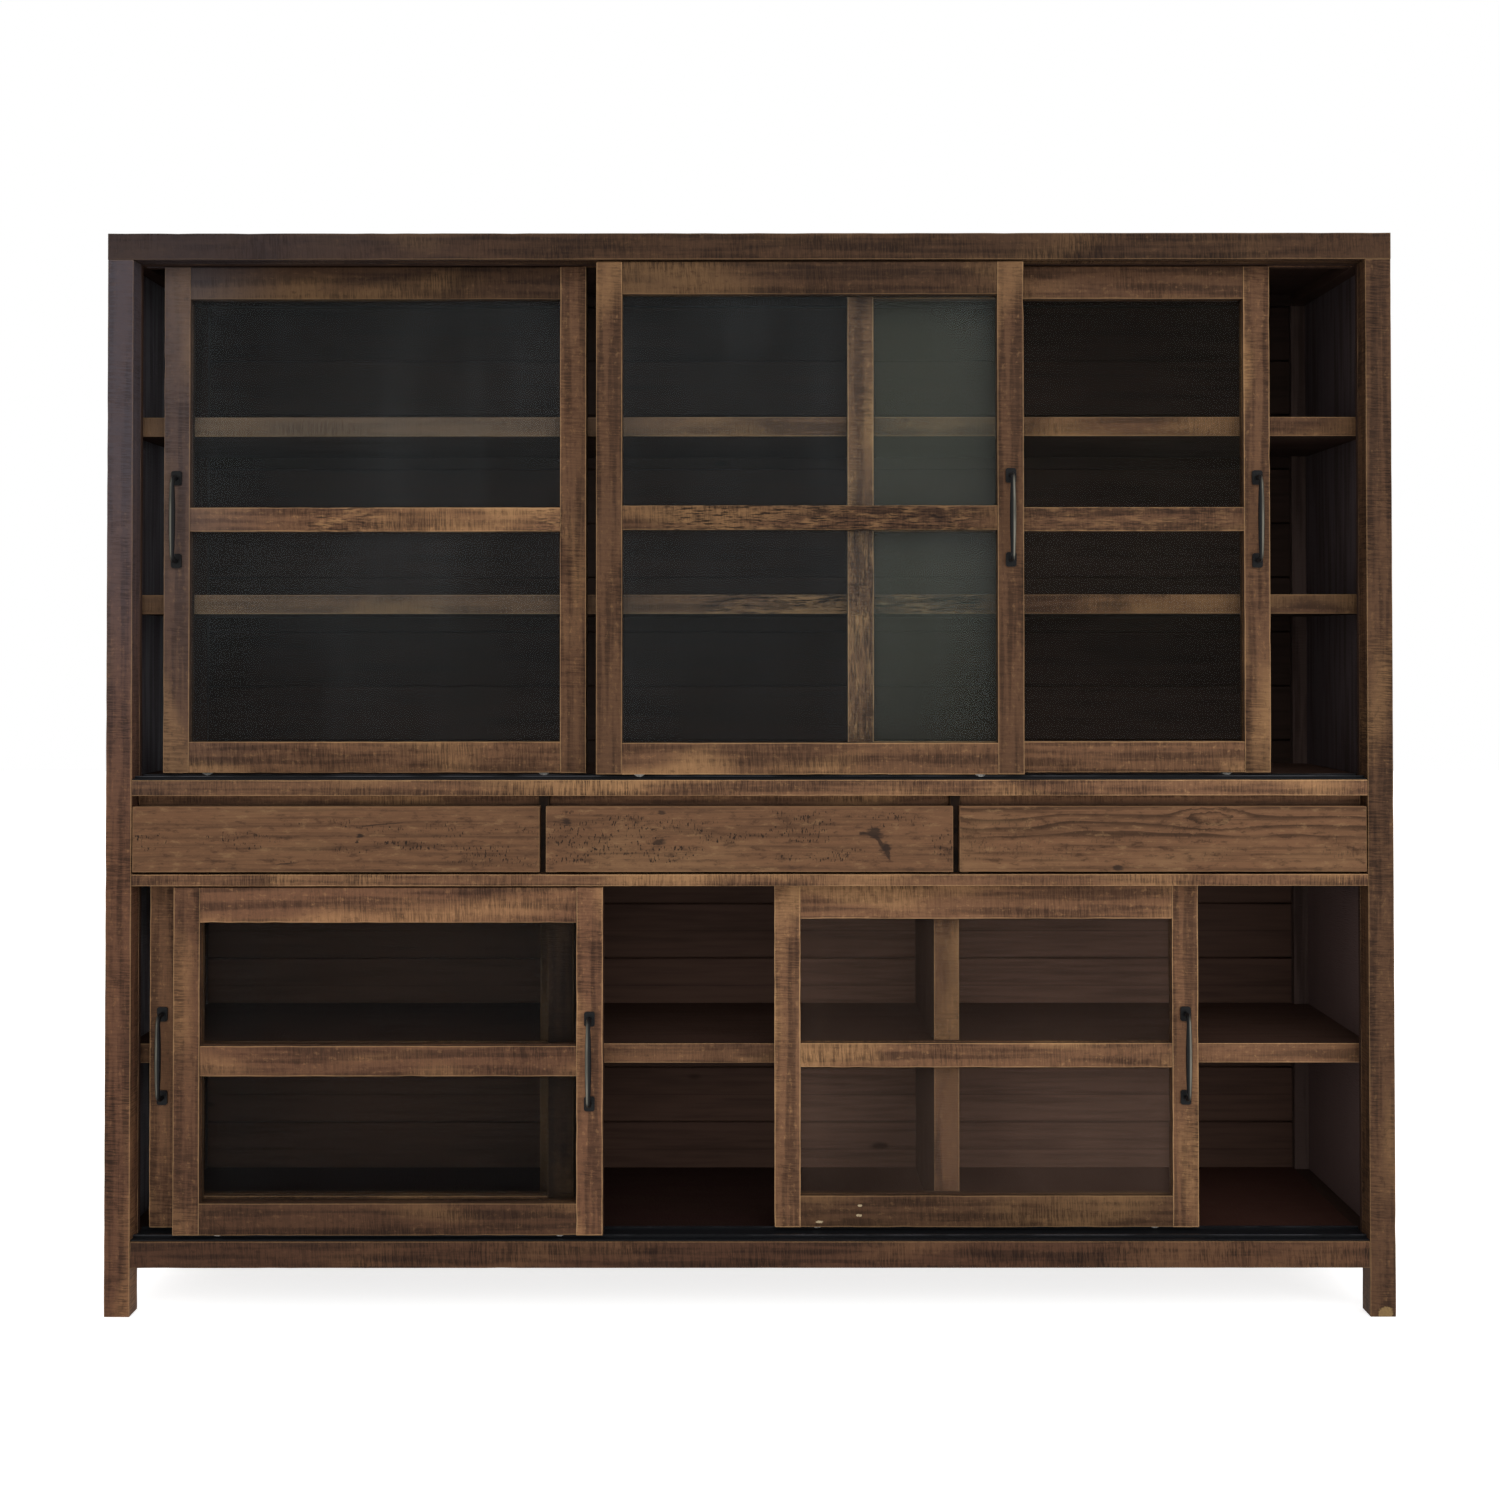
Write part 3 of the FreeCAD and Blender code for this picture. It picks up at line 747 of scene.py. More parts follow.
    def stained(self, point: BoardPoint, bands: Sock, patch: Sock, marks: Sock) -> Sock:
        """The stain with its streaks, rubbed and dark spots, saw marks and pale arrises.

        Args:
            point: The point on the board.
            bands: 1 in the dark streaks.
            patch: The noise in patches.
            marks: 1 in a saw mark.

        Returns:
            The colour of a board of plain tone.
        """
        bench = point.bench
        cloud = point.noise(self.clouds)
        mottle = point.noise(self.mottles)
        worn = (point.edge() + (patch - 0.5) * self.wear_waver).ramp(*self.wear_step)
        blotched = mottle.ramp(*self.dark_mottle) * (patch + self.dark_floor)
        blotched = blotched * (self.blotch * self.dark_mottle_share)
        layers = [
            (bands * self.band_share, self.dark),
            (cloud.ramp(*self.cloud_step) * self.rub, self.rubbed),
            (mottle.ramp(*self.light_mottle) * (cloud + self.light_floor) * self.rub, self.rubbed),
            (patch.ramp(*self.blotch_step) * self.blotch, self.dark),
            (blotched, self.dark),
            (marks * self.saw, self.dark),
            (worn * (mottle * self.wear_mix[0] + patch * self.wear_mix[1]) * self.arris_rub, self.arris),
        ]
        if self.weathered:
            where = largest([stretch.mask(bench) for stretch in self.weathered])
            lump = point.noise(self.lumps)
            split = point.noise(self.splits)
            pale_share, dark_share, split_share = self.weather_shares
            layers += [
                (where * lump.ramp(*self.pale_lump) * pale_share, self.rubbed),
                (where * lump.ramp(*self.dark_lump) * dark_share, self.dark),
                (where * split.ramp(*self.split_step) * split_share, self.split),
            ]
        return bench.layered(self.stain, layers)

    def chipped(self, point: BoardPoint, colour: Sock) -> Sock:
        """A colour with bare spots in it.

        Args:
            point: The point on the board.
            colour: The colour round the spots.

        Returns:
            The colour with the spots.
        """
        bench = point.bench
        flakes = point.noise(self.flakes)
        place = bench.place().parts()
        spots = largest([chip.mask(place, flakes) for chip in self.chips])
        return bench.mix(spots, colour, bench.mix(flakes * self.flake_stain, self.bare, self.stain))

    def shaded_inside(self, point: BoardPoint, bands: Sock) -> Sock:
        """The nearly black colour of faces inside the carcass: a darker stain with painted shade.

        Args:
            point: The point on the board.
            bands: 1 in the dark streaks.

        Returns:
            That colour.
        """
        bench = point.bench
        colour = bench.scaled(bench.mix(bands * self.band_share, self.inner, self.dark), point.tone)
        # painted light: the inner toning lightens part of the inside
        if self.inner_toning:
            colour = bench.mix(self.inner_toning.mask(bench), colour, self.inner_toning.colour)
        return colour


@dataclass(frozen=True)
class PlanedPine(Finish):
    """Planed pine under a brown stain: streaks, figure that flows round knots, specks and splits."""

    early: Colour = (0.172, 0.0845, 0.0425)
    late: Colour = (0.05, 0.0255, 0.0145)
    scuff: Colour = (0.02, 0.0125, 0.0095)
    tick: Colour = (0.025, 0.0145, 0.0095)
    rubbed: Colour = (0.28, 0.16, 0.077)
    rings: float = 62.0
    figure: float = 0.12
    figure_band: Span = (0.0, 0.06)
    specks: float = 0.6
    speck_band: Span = (0.0, 0.045)
    shine: float = 0.1
    knots: tuple[Knot, ...] = ()
    cracks: tuple[Crack, ...] = ()
    sways: Pattern = Pattern(3.2, 11.0, 2.0, 0.5, (1.0, 0.0, 1.0))
    streaks: Pattern = Pattern(2.4, 105.0, 4.0, 0.65)
    fibres: Pattern = Pattern(14.0, 560.0, 1.0)
    patches: Pattern = Pattern(7.0, 34.0, 3.0, 0.65)
    jags: Pattern = Pattern(70.0, 110.0, 2.0, 0.6)
    mottles: Pattern = Pattern(32.0, 90.0, 4.0, 0.7)
    dots: Pattern = Pattern(110.0, 100.0)
    hatches: Pattern = Pattern(310.0, 95.0, 2.0, 0.6)
    knot_jag: float = 1.5
    knot_pull: Span = (2.6, 0.7)
    knot_rings: float = 1.3
    knot_core: float = 0.35
    crack_share: float = 0.8
    crack_waver: float = 0.004
    crack_jag: float = 2.0
    ring_tilt: float = 0.7
    sway_waver: float = 0.05
    streak_waver: float = 0.006
    streak_share: float = 0.6
    fibre_share: float = 0.22
    sway_share: float = 0.75
    worn_share: float = 0.18
    dark_share: float = 0.65
    light_share: float = 0.5
    arris_share: float = 0.5
    figure_levels: Span = (0.3, 1.1)
    speck_step: Span = (0.05, 0.6)
    sway_level: float = 0.9
    band_core: float = 0.5
    relief_mix: Triple = (0.35, 0.3, 0.8)
    late_rise: Span = (0.3, 0.9)
    late_fall: Span = (1.0, 0.94)
    patch_step: Span = (0.48, 0.66)
    streak_step: Span = (0.42, 0.7)
    fibre_step: Span = (0.5, 0.8)
    sway_step: Span = (0.5, 0.7)
    dark_mottle: Span = (0.52, 0.7)
    light_mottle: Span = (0.46, 0.3)
    dot_step: Span = (0.2, 0.1)
    hatch_step: Span = (0.56, 0.65)
    wear_step: Span = (0.0016, 0.0007)
    wear_waver: float = 0.002
    roughness: Span = (0.48, 0.64)
    relief: Span = (0.0004, 0.7)

    def dress(self, bench: Bench) -> None:
        """Fills the material's node tree.

        Args:
            bench: The tree, which is empty.
        """
        point = BoardPoint(bench)
        sway = point.noise(self.sways)
        streak = point.noise(self.streaks)
        fibre = point.noise(self.fibres)
        patch = point.noise(self.patches)
        mottle = point.noise(self.mottles)
        phase = point.across + point.deep * self.ring_tilt
        phase = phase + (sway - 0.5) * self.sway_waver + (streak - 0.5) * self.streak_waver
        phase, marks = self.knotted(point, phase, streak, fibre + patch - 1.0)
        ring = (phase * self.rings).fraction()
        latewood = ring.ramp(*self.late_rise) * ring.ramp(*self.late_fall)
        latewood = latewood * self.band(point, self.figure_band)
        worn = patch.ramp(*self.patch_step) * self.band(point, self.speck_band)
        specks = bench.cells(point.spread(self.dots)).ramp(*self.dot_step)
        specks = specks.most(point.noise(self.hatches).ramp(*self.hatch_step))
        specks = specks * worn.ramp(*self.speck_step) * self.specks
        arris = (point.edge() + (patch - 0.5) * self.wear_waver).ramp(*self.wear_step)
        layers = [
            (streak.ramp(*self.streak_step) * self.streak_share, self.late),
            (latewood * patch.between(*self.figure_levels) * self.figure, self.late),
            (fibre.ramp(*self.fibre_step) * self.fibre_share, self.late),
            (sway.ramp(*self.sway_step) * (self.sway_level - streak) * self.sway_share, self.rubbed),
            (worn * self.worn_share, self.late),
            (mottle.ramp(*self.dark_mottle) * self.dark_share, self.late),
            (mottle.ramp(*self.light_mottle) * self.light_share, self.rubbed),
            (specks, self.tick),
            *((mark, self.scuff) for mark in marks),
            (arris * self.arris_share, self.rubbed),
        ]
        from_fibre, from_streak, from_speck = self.relief_mix
        height = fibre * from_fibre + streak * from_streak - specks * from_speck
        bench.opaque({
            "Base Color": bench.scaled(bench.layered(self.early, layers), point.tone),
            "Roughness": patch.between(*self.roughness),
            "Specular IOR Level": self.shine,
            "Normal": bench.bump(height, *self.relief),
        })

    def knotted(self, point: BoardPoint, phase: Sock, streak: Sock, rough: Sock) -> tuple[Sock, list[Sock]]:
        """Bends the growth rings round the knots, and marks the knots and splits.

        Args:
            point: The point on the board.
            phase: The way across the rings.
            streak: The noise along the fibres.
            rough: The noise that a knot's edge follows, round 0.

        Returns:
            The bent way across the rings, and a list that holds the marks' mask, or nothing without marks.
        """
        jag_along, jag_across, _ = point.noise(self.jags, output="Color").parts()
        marks = []
        for knot in self.knots:
            loose = knot.radius * self.knot_jag
            along = point.along + (jag_along - 0.5) * loose
            across = point.across + (jag_across - 0.5) * loose
            reach = knot.reach(along, across)
            pull = reach.ramp(*(knot.radius * part for part in self.knot_pull))
            phase = phase * (1.0 - pull) + reach * self.knot_rings * pull
            core = (reach + rough * knot.radius).ramp(knot.radius, knot.radius * self.knot_core)
            marks.append(core * knot.darkness)
        for crack in self.cracks:
            jag = (jag_across - 0.5) * (crack.width * self.crack_jag)
            bent = point.across + (streak - 0.5) * self.crack_waver + jag
            marks.append(crack.mask(point.along, bent) * self.crack_share)
        return phase, [largest(marks)] if marks else []

    def band(self, point: BoardPoint, band: Span) -> Sock:
        """1 in a band along the board, which is given by its middle and half its width."""
        middle, half = band
        return (point.across - middle).size().ramp(half, half * self.band_core)


@dataclass(frozen=True)
class InnerTimber(Finish):
    """Boards of the back: nearly black inside, with painted shade above the drawer deck and a stretch of
    painted light that makes them paler, and plain brown on the outside.
    """

    stain: Colour = (0.092, 0.049, 0.034)
    dark: Colour = (0.033, 0.0175, 0.0125)
    # the colour of the painted light on the lit stretch
    pale: Colour = (0.24, 0.132, 0.094)
    lit_stretch: Span = (0.0, 0.0)
    lit_height: float = 0.0
    fade: float = 0.03
    # the share of the colour kept above the drawer deck: painted shade
    upper_shade_share: float = 0.35
    outer: Colour = (0.19, 0.115, 0.07)
    outer_dark: Colour = (0.085, 0.048, 0.029)
    outer_place: float = 0.0
    shine: float = 0.12
    sways: Pattern = Pattern(1.4, 8.0, 3.0, 0.5, (3.0, 0.0, 0.0))
    streaks: Pattern = Pattern(4.5, 75.0, 3.0, 0.65)
    patches: Pattern = Pattern(2.5, 9.0, 3.0, 0.5, (1.0, 1.0, 0.0))
    rings: float = 60.0
    ring_waver: float = 0.05
    knot_spread: Span = (3.0, 7.0)
    knot_shift: float = 5.0
    knot_step: Span = (0.07, 0.025)
    seam_step: Span = (0.0032, 0.001)
    groove_step: Span = (0.0016, 0.0006)
    groove_share: float = 0.7
    seam_levels: Span = (0.2, 1.0)
    lit_levels: Span = (0.45, 1.05)
    ring_step: Span = (0.4, 1.0)
    ring_share: float = 0.1
    streak_step: Span = (0.4, 0.75)
    streak_share: float = 0.4
    patch_step: Span = (0.5, 0.75)
    patch_share: float = 0.35
    knot_share: float = 0.85
    upper_seam: float = 0.2
    relief_mix: Span = (0.5, 0.2)
    roughness: Span = (0.55, 0.75)
    relief: Span = (0.0005, 0.7)

    def dress(self, bench: Bench) -> None:
        """Fills the material's node tree.

        Args:
            bench: The tree, which is empty.
        """
        point = BoardPoint(bench)
        streak = point.noise(self.streaks)
        patch = point.noise(self.patches)
        bent = point.across + (point.noise(self.sways) - 0.5) * self.ring_waver
        ring = (bent * (self.rings * math.tau)).sine() * 0.5 + 0.5
        x, y, z = bench.place().parts()
        first, last = self.lit_stretch
        lower = z.ramp(self.lit_height + self.fade, self.lit_height - self.fade)
        painted_light = x.ramp(first - self.fade, first + self.fade) * x.ramp(last + self.fade, last - self.fade)
        outside = y.ramp(self.outer_place - MILLIMETRE, self.outer_place)
        dark = bench.mix(outside, self.dark, self.outer_dark)
        groove = point.across.size().ramp(*self.groove_step) * self.groove_share
        seam = point.edge().ramp(*self.seam_step).most(groove) * streak.between(*self.seam_levels)
        seam = seam * lower.most(outside).most(self.upper_seam)
        ringed = ring.ramp(*self.ring_step) * self.ring_share
        streaked = streak.ramp(*self.streak_step) * self.streak_share
        layers = [
            # painted light: a stretch of the lower tier is paler
            (painted_light * lower * patch.between(*self.lit_levels), self.pale),
            (outside, self.outer),
            (ringed + streaked, dark),
            (patch.ramp(*self.patch_step) * self.patch_share, dark),
            ((self.knots(point) * self.knot_share).most(seam), dark),
        ]
        # painted shade: above the drawer deck the inside is darker
        share = lower.between(self.upper_shade_share, 1.0).most(outside)
        bench.opaque({
            "Base Color": bench.scaled(bench.layered(self.stain, layers), point.tone * share),
            "Roughness": patch.between(*self.roughness),
            "Specular IOR Level": self.shine,
            "Normal": bench.bump(streak * self.relief_mix[0] + ring * self.relief_mix[1], *self.relief),
        })

    def knots(self, point: BoardPoint) -> Sock:
        """Small knots, scattered over the boards.

        Args:
            point: The point on the board.

        Returns:
            1 in a knot.
        """
        along = point.along * self.knot_spread[0] + point.drift * self.knot_shift
        across = point.across * self.knot_spread[1] + point.drift
        return point.bench.cells(point.bench.vector(along, across, point.drift)).ramp(*self.knot_step)


@dataclass(frozen=True)
class PaneGlass(Finish):
    """Clear float glass with a faint film, which is thicker on the part of a pane that lies behind its
    neighbour.
    """

    tint: Colour = (0.95, 0.955, 0.95)
    film_colour: Colour = (0.335, 0.37, 0.385)
    film: float = 0.018
    film_rise: Span | None = None
    film_levels: Span = (0.5, 1.1)
    bloom: float = 0.0
    bloom_place: float = 0.0
    bloom_soft: float = 0.03
    bloom_levels: Span = (0.75, 1.25)
    bend: float = 1.09
    gloss: float = 0.03
    smears: Grit = Grit((3.0, 0.0, 2.0), 4.0, 0.6)
    smear_step: Span = (0.3, 0.8)
    smear_share: float = 0.9
    streaks: Grit = Grit((26.0, 0.0, 1.2))
    streak_step: Span = (0.45, 0.75)
    streak_share: float = 0.25
    film_floor: float = 0.4

    def dress(self, bench: Bench) -> None:
        """Fills the material's node tree.

        Args:
            bench: The tree, which is empty.
        """
        across, _, height = bench.place().parts()
        smear = bench.speckle(self.smears)
        streaks = bench.speckle(self.streaks).ramp(*self.streak_step) * self.streak_share
        film = (smear.ramp(*self.smear_step) * self.smear_share + streaks + self.film_floor) * self.film
        if self.bloom:
            hazy = across.ramp(self.bloom_place + self.bloom_soft, self.bloom_place - self.bloom_soft)
            film = film + hazy * smear.between(*self.bloom_levels) * self.bloom
        # the film's change with height paints light and shade through the pane
        if self.film_rise:
            film = film * height.ramp(*self.film_rise).between(*self.film_levels)
        clear = bench.make("ShaderNodeBsdfTransparent", inputs={"Color": self.tint})
        gloss = bench.make("ShaderNodeBsdfGlossy", inputs={"Color": WHITE, "Roughness": self.gloss})
        edge_on = bench.make("ShaderNodeFresnel", inputs={"IOR": self.bend})
        dust = bench.make("ShaderNodeBsdfDiffuse", inputs={"Color": self.film_colour})
        pane = bench.make("ShaderNodeMixShader", inputs={0: edge_on, 1: clear, 2: gloss})
        bench.surface(bench.make("ShaderNodeMixShader", inputs={0: film, 1: pane, 2: dust}))


@dataclass(frozen=True)
class BlackIron(Finish):
    """Blackened iron with a painted grey highlight on the outer side of the grip, which stands out in front
    of its feet, and paler specks.
    """

    front: float = 0.0
    grip: Span = (0.022, 0.015)
    black: Colour = (0.006, 0.006, 0.0065)
    # the grey of the painted highlight and of the specks
    worn: Colour = (0.2, 0.19, 0.155)
    shine: float = 0.15
    specks: Grit = Grit((420.0, 420.0, 420.0), 3.0, 0.65)
    speck_step: Span = (0.6, 0.78)
    speck_share: float = 0.25
    highlight_patches: Grit = Grit((60.0, 60.0, 16.0))
    highlight_patch_step: Span = (0.3, 0.6)
    highlight_patch_levels: Span = (0.5, 1.0)
    middle: Span = (-0.1, 0.1)
    highlight_side: Span = (0.72, 0.69)
    side_step: Span = (0.5, 0.98)
    roughness: Span = (0.28, 0.53)
    relief: Span = (0.0004, 0.6)

    def dress(self, bench: Bench) -> None:
        """Fills the material's node tree.

        Args:
            bench: The tree, which is empty.
        """
        x, y, _ = bench.place().parts()
        speck = bench.speckle(self.specks)
        # noise that breaks the painted highlight into patches
        rub = bench.speckle(self.highlight_patches).ramp(*self.highlight_patch_step).between(*self.highlight_patch_levels)
        sideways, back, _ = bench.facing().parts()
        # painted highlight: on the grip, faces that face outwards and to the front are painted grey and
        # metallic; the specks are the iron's own
        outward = sideways * x.ramp(*self.middle).between(-1.0, 1.0)
        painted_highlight = (outward * self.highlight_side[0] - back * self.highlight_side[1]).ramp(*self.side_step)
        wear = painted_highlight * (y - self.front).ramp(*self.grip) * rub
        wear = wear.most(speck.ramp(*self.speck_step) * self.speck_share)
        bench.opaque({
            "Base Color": bench.mix(wear, self.black, self.worn),
            "Metallic": wear,
            "Specular IOR Level": self.shine,
            "Roughness": speck.between(*self.roughness),
            "Normal": bench.bump(speck, *self.relief),
        })


@dataclass(frozen=True)
class TrackPaint(Finish):
    """Black lacquer on steel, bared in places along the top of each rib where the rollers run."""

    lacquer: Colour = (0.0085, 0.009, 0.0105)
    shine: float = 0.12
    steel: Colour = (0.09, 0.09, 0.1)
    rib_tops: tuple[float, ...] = ()
    soft: float = 0.0008
    scratches: Grit = Grit((9.0, 900.0, 30.0), 3.0, 0.6)
    scratch_step: Span = (0.42, 0.62)
    bared: float = 0.8
    dust: Grit = Grit((14.0, 60.0, 60.0), 3.0)
    roughness: Span = (0.3, 0.55)

    def dress(self, bench: Bench) -> None:
        """Fills the material's node tree.

        Args:
            bench: The tree, which is empty.
        """
        height = bench.place().parts()[2]
        top = largest([(height - rib).size().ramp(self.soft * 2.0, self.soft) for rib in self.rib_tops])
        bare = top * bench.speckle(self.scratches).ramp(*self.scratch_step) * self.bared
        bench.opaque({
            "Base Color": bench.mix(bare, self.lacquer, self.steel),
            "Metallic": bare,
            "Specular IOR Level": self.shine,
            "Roughness": bench.speckle(self.dust).between(*self.roughness),
        })


@dataclass(frozen=True)
class Nylon(Finish):
    """Off-white nylon, greyed by the track."""

    clean: Colour = (0.56, 0.54, 0.5)
    grimy: Colour = (0.16, 0.15, 0.14)
    grime: Grit = Grit((260.0, 260.0, 260.0), 3.0, 0.6)
    grime_step: Span = (0.4, 0.75)
    roughness: Span = (0.4, 0.6)

    def dress(self, bench: Bench) -> None:
        """Fills the material's node tree.

        Args:
            bench: The tree, which is empty.
        """
        grime = bench.speckle(self.grime)
        bench.opaque({
            "Base Color": bench.mix(grime.ramp(*self.grime_step), self.clean, self.grimy),
            "Roughness": grime.between(*self.roughness),
        })


@dataclass(frozen=True)
class PaleFloor(Finish):
    """A pale matt floor that reads as white, with the object's shadow on it."""

    paint: Colour = (0.82, 0.82, 0.82)
    scuffed: Colour = (0.7, 0.7, 0.7)
    scuffs: Grit = Grit((40.0, 40.0, 0.0))
    scuff_share: float = 0.06
    lift: float = 0.76

    def dress(self, bench: Bench) -> None:
        """Fills the material's node tree.

        Args:
            bench: The tree, which is empty.
        """
        paint = bench.mix(bench.speckle(self.scuffs) * self.scuff_share, self.paint, self.scuffed)
        base = bench.make("ShaderNodeBsdfDiffuse", inputs={"Color": paint})
        glow = bench.make("ShaderNodeEmission", inputs={"Strength": bench.seen_rays() * self.lift})
        bench.surface(bench.make("ShaderNodeAddShader", inputs={0: base, 1: glow}))


def settle(piece: bpy.types.Object, node: str) -> None:
    """Makes a piece stand for a CAD node: it rides on the node's body, and the node's slot is only looked up.

    Args:
        piece: The new piece.
        node: The node that it replaces.
    """
    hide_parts(node)
    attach(piece, frame["nodes"][node]["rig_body"])
    slots = {part["node"]: part["material_slot"] for part in frame["record"]["subparts"]}
    slots[node]
    LOG.info("%s: %d points", piece.name, len(piece.data.vertices))


def coat(node: str, finish: Finish) -> None:
    """Gives a CAD node that keeps its own shape a finish.

    Args:
        node: The node.
        finish: Its finish.
    """
    shape = frame["nodes"][node]
    shape.data.materials.clear()
    shape.data.materials.append(finish.material())
    LOG.info("%s: %s", node, finish.name)


@dataclass
class Boards:
    """The separate boards of a CAD node, cut into short lengths and with worn arrises, as one new piece."""

    node: str
    finish: Finish
    arris: Arris
    tone_range: Span = (0.88, 1.1)
    drift_range: Span = (0.0, 9.0)
    flat_angle: float = math.radians(0.5)
    sharp_angle: float = 0.6
    short_edge: float = 0.003
    arris_steps: int = 2
    arris_profile: float = 0.55
    arris_reach: float = 1.2
    cut_clearance: float = 4.0
    cut_slack: float = 1e-6
    wear_range: Span = (0.0, 90.0)
    wear_sides: float = 3.0
    nick_pitch: float = 2.3
    nick_start: float = 0.35
    nick_depth: float = 2.5
    nick_layer: float = 7.0

    def build(self, tones: Sequence[float] = (), slope: float = 0.0) -> bpy.types.Object:
        """Makes the piece, which stands for the node.

        Args:
            tones: The lightness of each board, in order from left to right and then upwards.
            slope: How much lightness a board gains from its middle to its end.

        Returns:
            The new object, riding on the node's body.
        """
        whole = bmesh.new()
        stores: dict[str, list[Vector]] = {stored.value: [] for stored in Stored}
        boards = sorted(self.split(frame["nodes"][self.node].data), key=self.order)
        for number, board in enumerate(boards):
            draw = random.Random(f"{self.node} {number}")
            tone = tones[number] if tones else draw.uniform(*self.tone_range)
            self.finish_board(board, Vector((tone, draw.uniform(*self.drift_range), slope)), stores, draw)
            part = bpy.data.meshes.new(self.node)
            board.to_mesh(part)
            whole.from_mesh(part)
            bpy.data.meshes.remove(part)
            board.free()
        mesh = bpy.data.meshes.new(self.node + "_boards")
        whole.to_mesh(mesh)
        whole.free()
        for name, vectors in stores.items():
            layer = mesh.attributes.new(name, "FLOAT_VECTOR", "POINT")
            layer.data.foreach_set("vector", [number for vector in vectors for number in vector])
        mesh.shade_smooth()
        mesh.materials.append(self.finish.material())
        piece = bpy.data.objects.new(self.node + "_boards", mesh)
        bpy.context.scene.collection.objects.link(piece)
        shading = piece.modifiers.new("flat faces stay flat", "WEIGHTED_NORMAL")
        shading.keep_sharp = True
        settle(piece, self.node)
        return piece

    def split(self, mesh: bpy.types.Mesh) -> list[bmesh.types.BMesh]:
        """The separate solids of a mesh, also where solids touch.

        Args:
            mesh: The node's mesh.

        Returns:
            One mesh per solid, with its flat faces whole again.
        """
        whole = bmesh.new()
        whole.from_mesh(mesh)
        whole.normal_update()
        whole.faces.ensure_lookup_table()
        spots = {vert: vert.co.to_tuple(6) for vert in whole.verts}
        near = self.neighbours(whole, spots)
        taken: set[int] = set()
        boards = []
        for face in whole.faces:
            if face.index not in taken:
                solid = self.connected(face.index, near)
                taken.update(solid)
                sides = [[spots[vert] for vert in whole.faces[number].verts] for number in solid]
                boards.append(self.rebuilt(sides))
        whole.free()
        return boards

    @classmethod
    def neighbours(cls, whole: bmesh.types.BMesh,
                   spots: dict[bmesh.types.BMVert, Spot]) -> dict[int, list[int]]:
        """Which faces bound a solid together.

        Args:
            whole: The node's mesh.
            spots: Where each of its points is.

        Returns:
            The numbers of each face's neighbours, by the face's number.
        """
        meeting: dict[tuple[Spot, ...], list[bmesh.types.BMFace]] = defaultdict(list)
        for face in whole.faces:
            for edge in face.edges:
                meeting[tuple(sorted(spots[vert] for vert in edge.verts))].append(face)
        near: dict[int, list[int]] = defaultdict(list)
        for (start, end), faces in meeting.items():
            for first, second in cls.joined_faces(Vector(start), Vector(end), faces):
                near[first].append(second)
                near[second].append(first)
        return near

    @staticmethod
    def joined_faces(start: Vector, end: Vector,
                     faces: Sequence[bmesh.types.BMFace]) -> list[tuple[int, int]]:
        """Pairs the faces at an edge that bound the same solid, in turn round the edge where solids touch.

        Args:
            start: One end of the edge.
            end: Its other end.
            faces: The faces that meet there.

        Returns:
            The numbers of two faces with solid between them, for each such pair.
        """
        axis = (end - start).normalized()
        first = axis.orthogonal().normalized()
        second = axis.cross(first)
        turns = []
        for number, face in enumerate(faces):
            inward = face.calc_center_median() - start
            angle = math.atan2(inward.dot(second), inward.dot(first))
            ahead = axis.cross(inward).dot(face.normal) < 0.0
            turns.append((round(angle, 3), ahead, number))
        turns.sort()
        following = turns[1:] + turns[:1]
        pairs = [(turn[2], after[2]) for turn, after in zip(turns, following) if turn[1]]
        return [(faces[one].index, faces[other].index) for one, other in pairs]

    @staticmethod
    def connected(first: int, near: dict[int, list[int]]) -> list[int]:
        """The faces of one solid.

        Args:
            first: The number of one of its faces.
            near: The neighbours of each face.

        Returns:
            The numbers of all its faces, from the first one on.
        """
        found = [first]
        taken = {first}
        for number in found:
            fresh = [other for other in dict.fromkeys(near[number]) if other not in taken]
            found.extend(fresh)
            taken.update(fresh)
        return found

    def rebuilt(self, sides: Sequence[Sequence[Spot]]) -> bmesh.types.BMesh:
        """A mesh of its own for one solid.

        Args:
            sides: The corners of each of its faces.

        Returns:
            The mesh, with its flat faces whole again.
        """
        board = bmesh.new()
        corners = sorted({corner for side in sides for corner in side})
        copies = {corner: board.verts.new(corner) for corner in corners}
        for side in sides:
            board.faces.new([copies[corner] for corner in side])
        board.normal_update()
        bmesh.ops.dissolve_limit(board, angle_limit=self.flat_angle, verts=board.verts, edges=board.edges)
        return board

    @staticmethod
    def corners(board: bmesh.types.BMesh) -> tuple[Vector, Vector]:
        """The lowest and highest corners of a board."""
        spans = [[vert.co[axis] for vert in board.verts] for axis in range(3)]
        return Vector([min(span) for span in spans]), Vector([max(span) for span in spans])

    def order(self, board: bmesh.types.BMesh) -> Triple:
        """The key that sorts boards from left to right, then upwards, then backwards.

        Args:
            board: A board.

        Returns:
            Its middle, rounded.
        """
        low, high = self.corners(board)
        middle = (low + high) / 2
        return round(middle.x, 3), round(middle.z, 3), round(middle.y, 3)

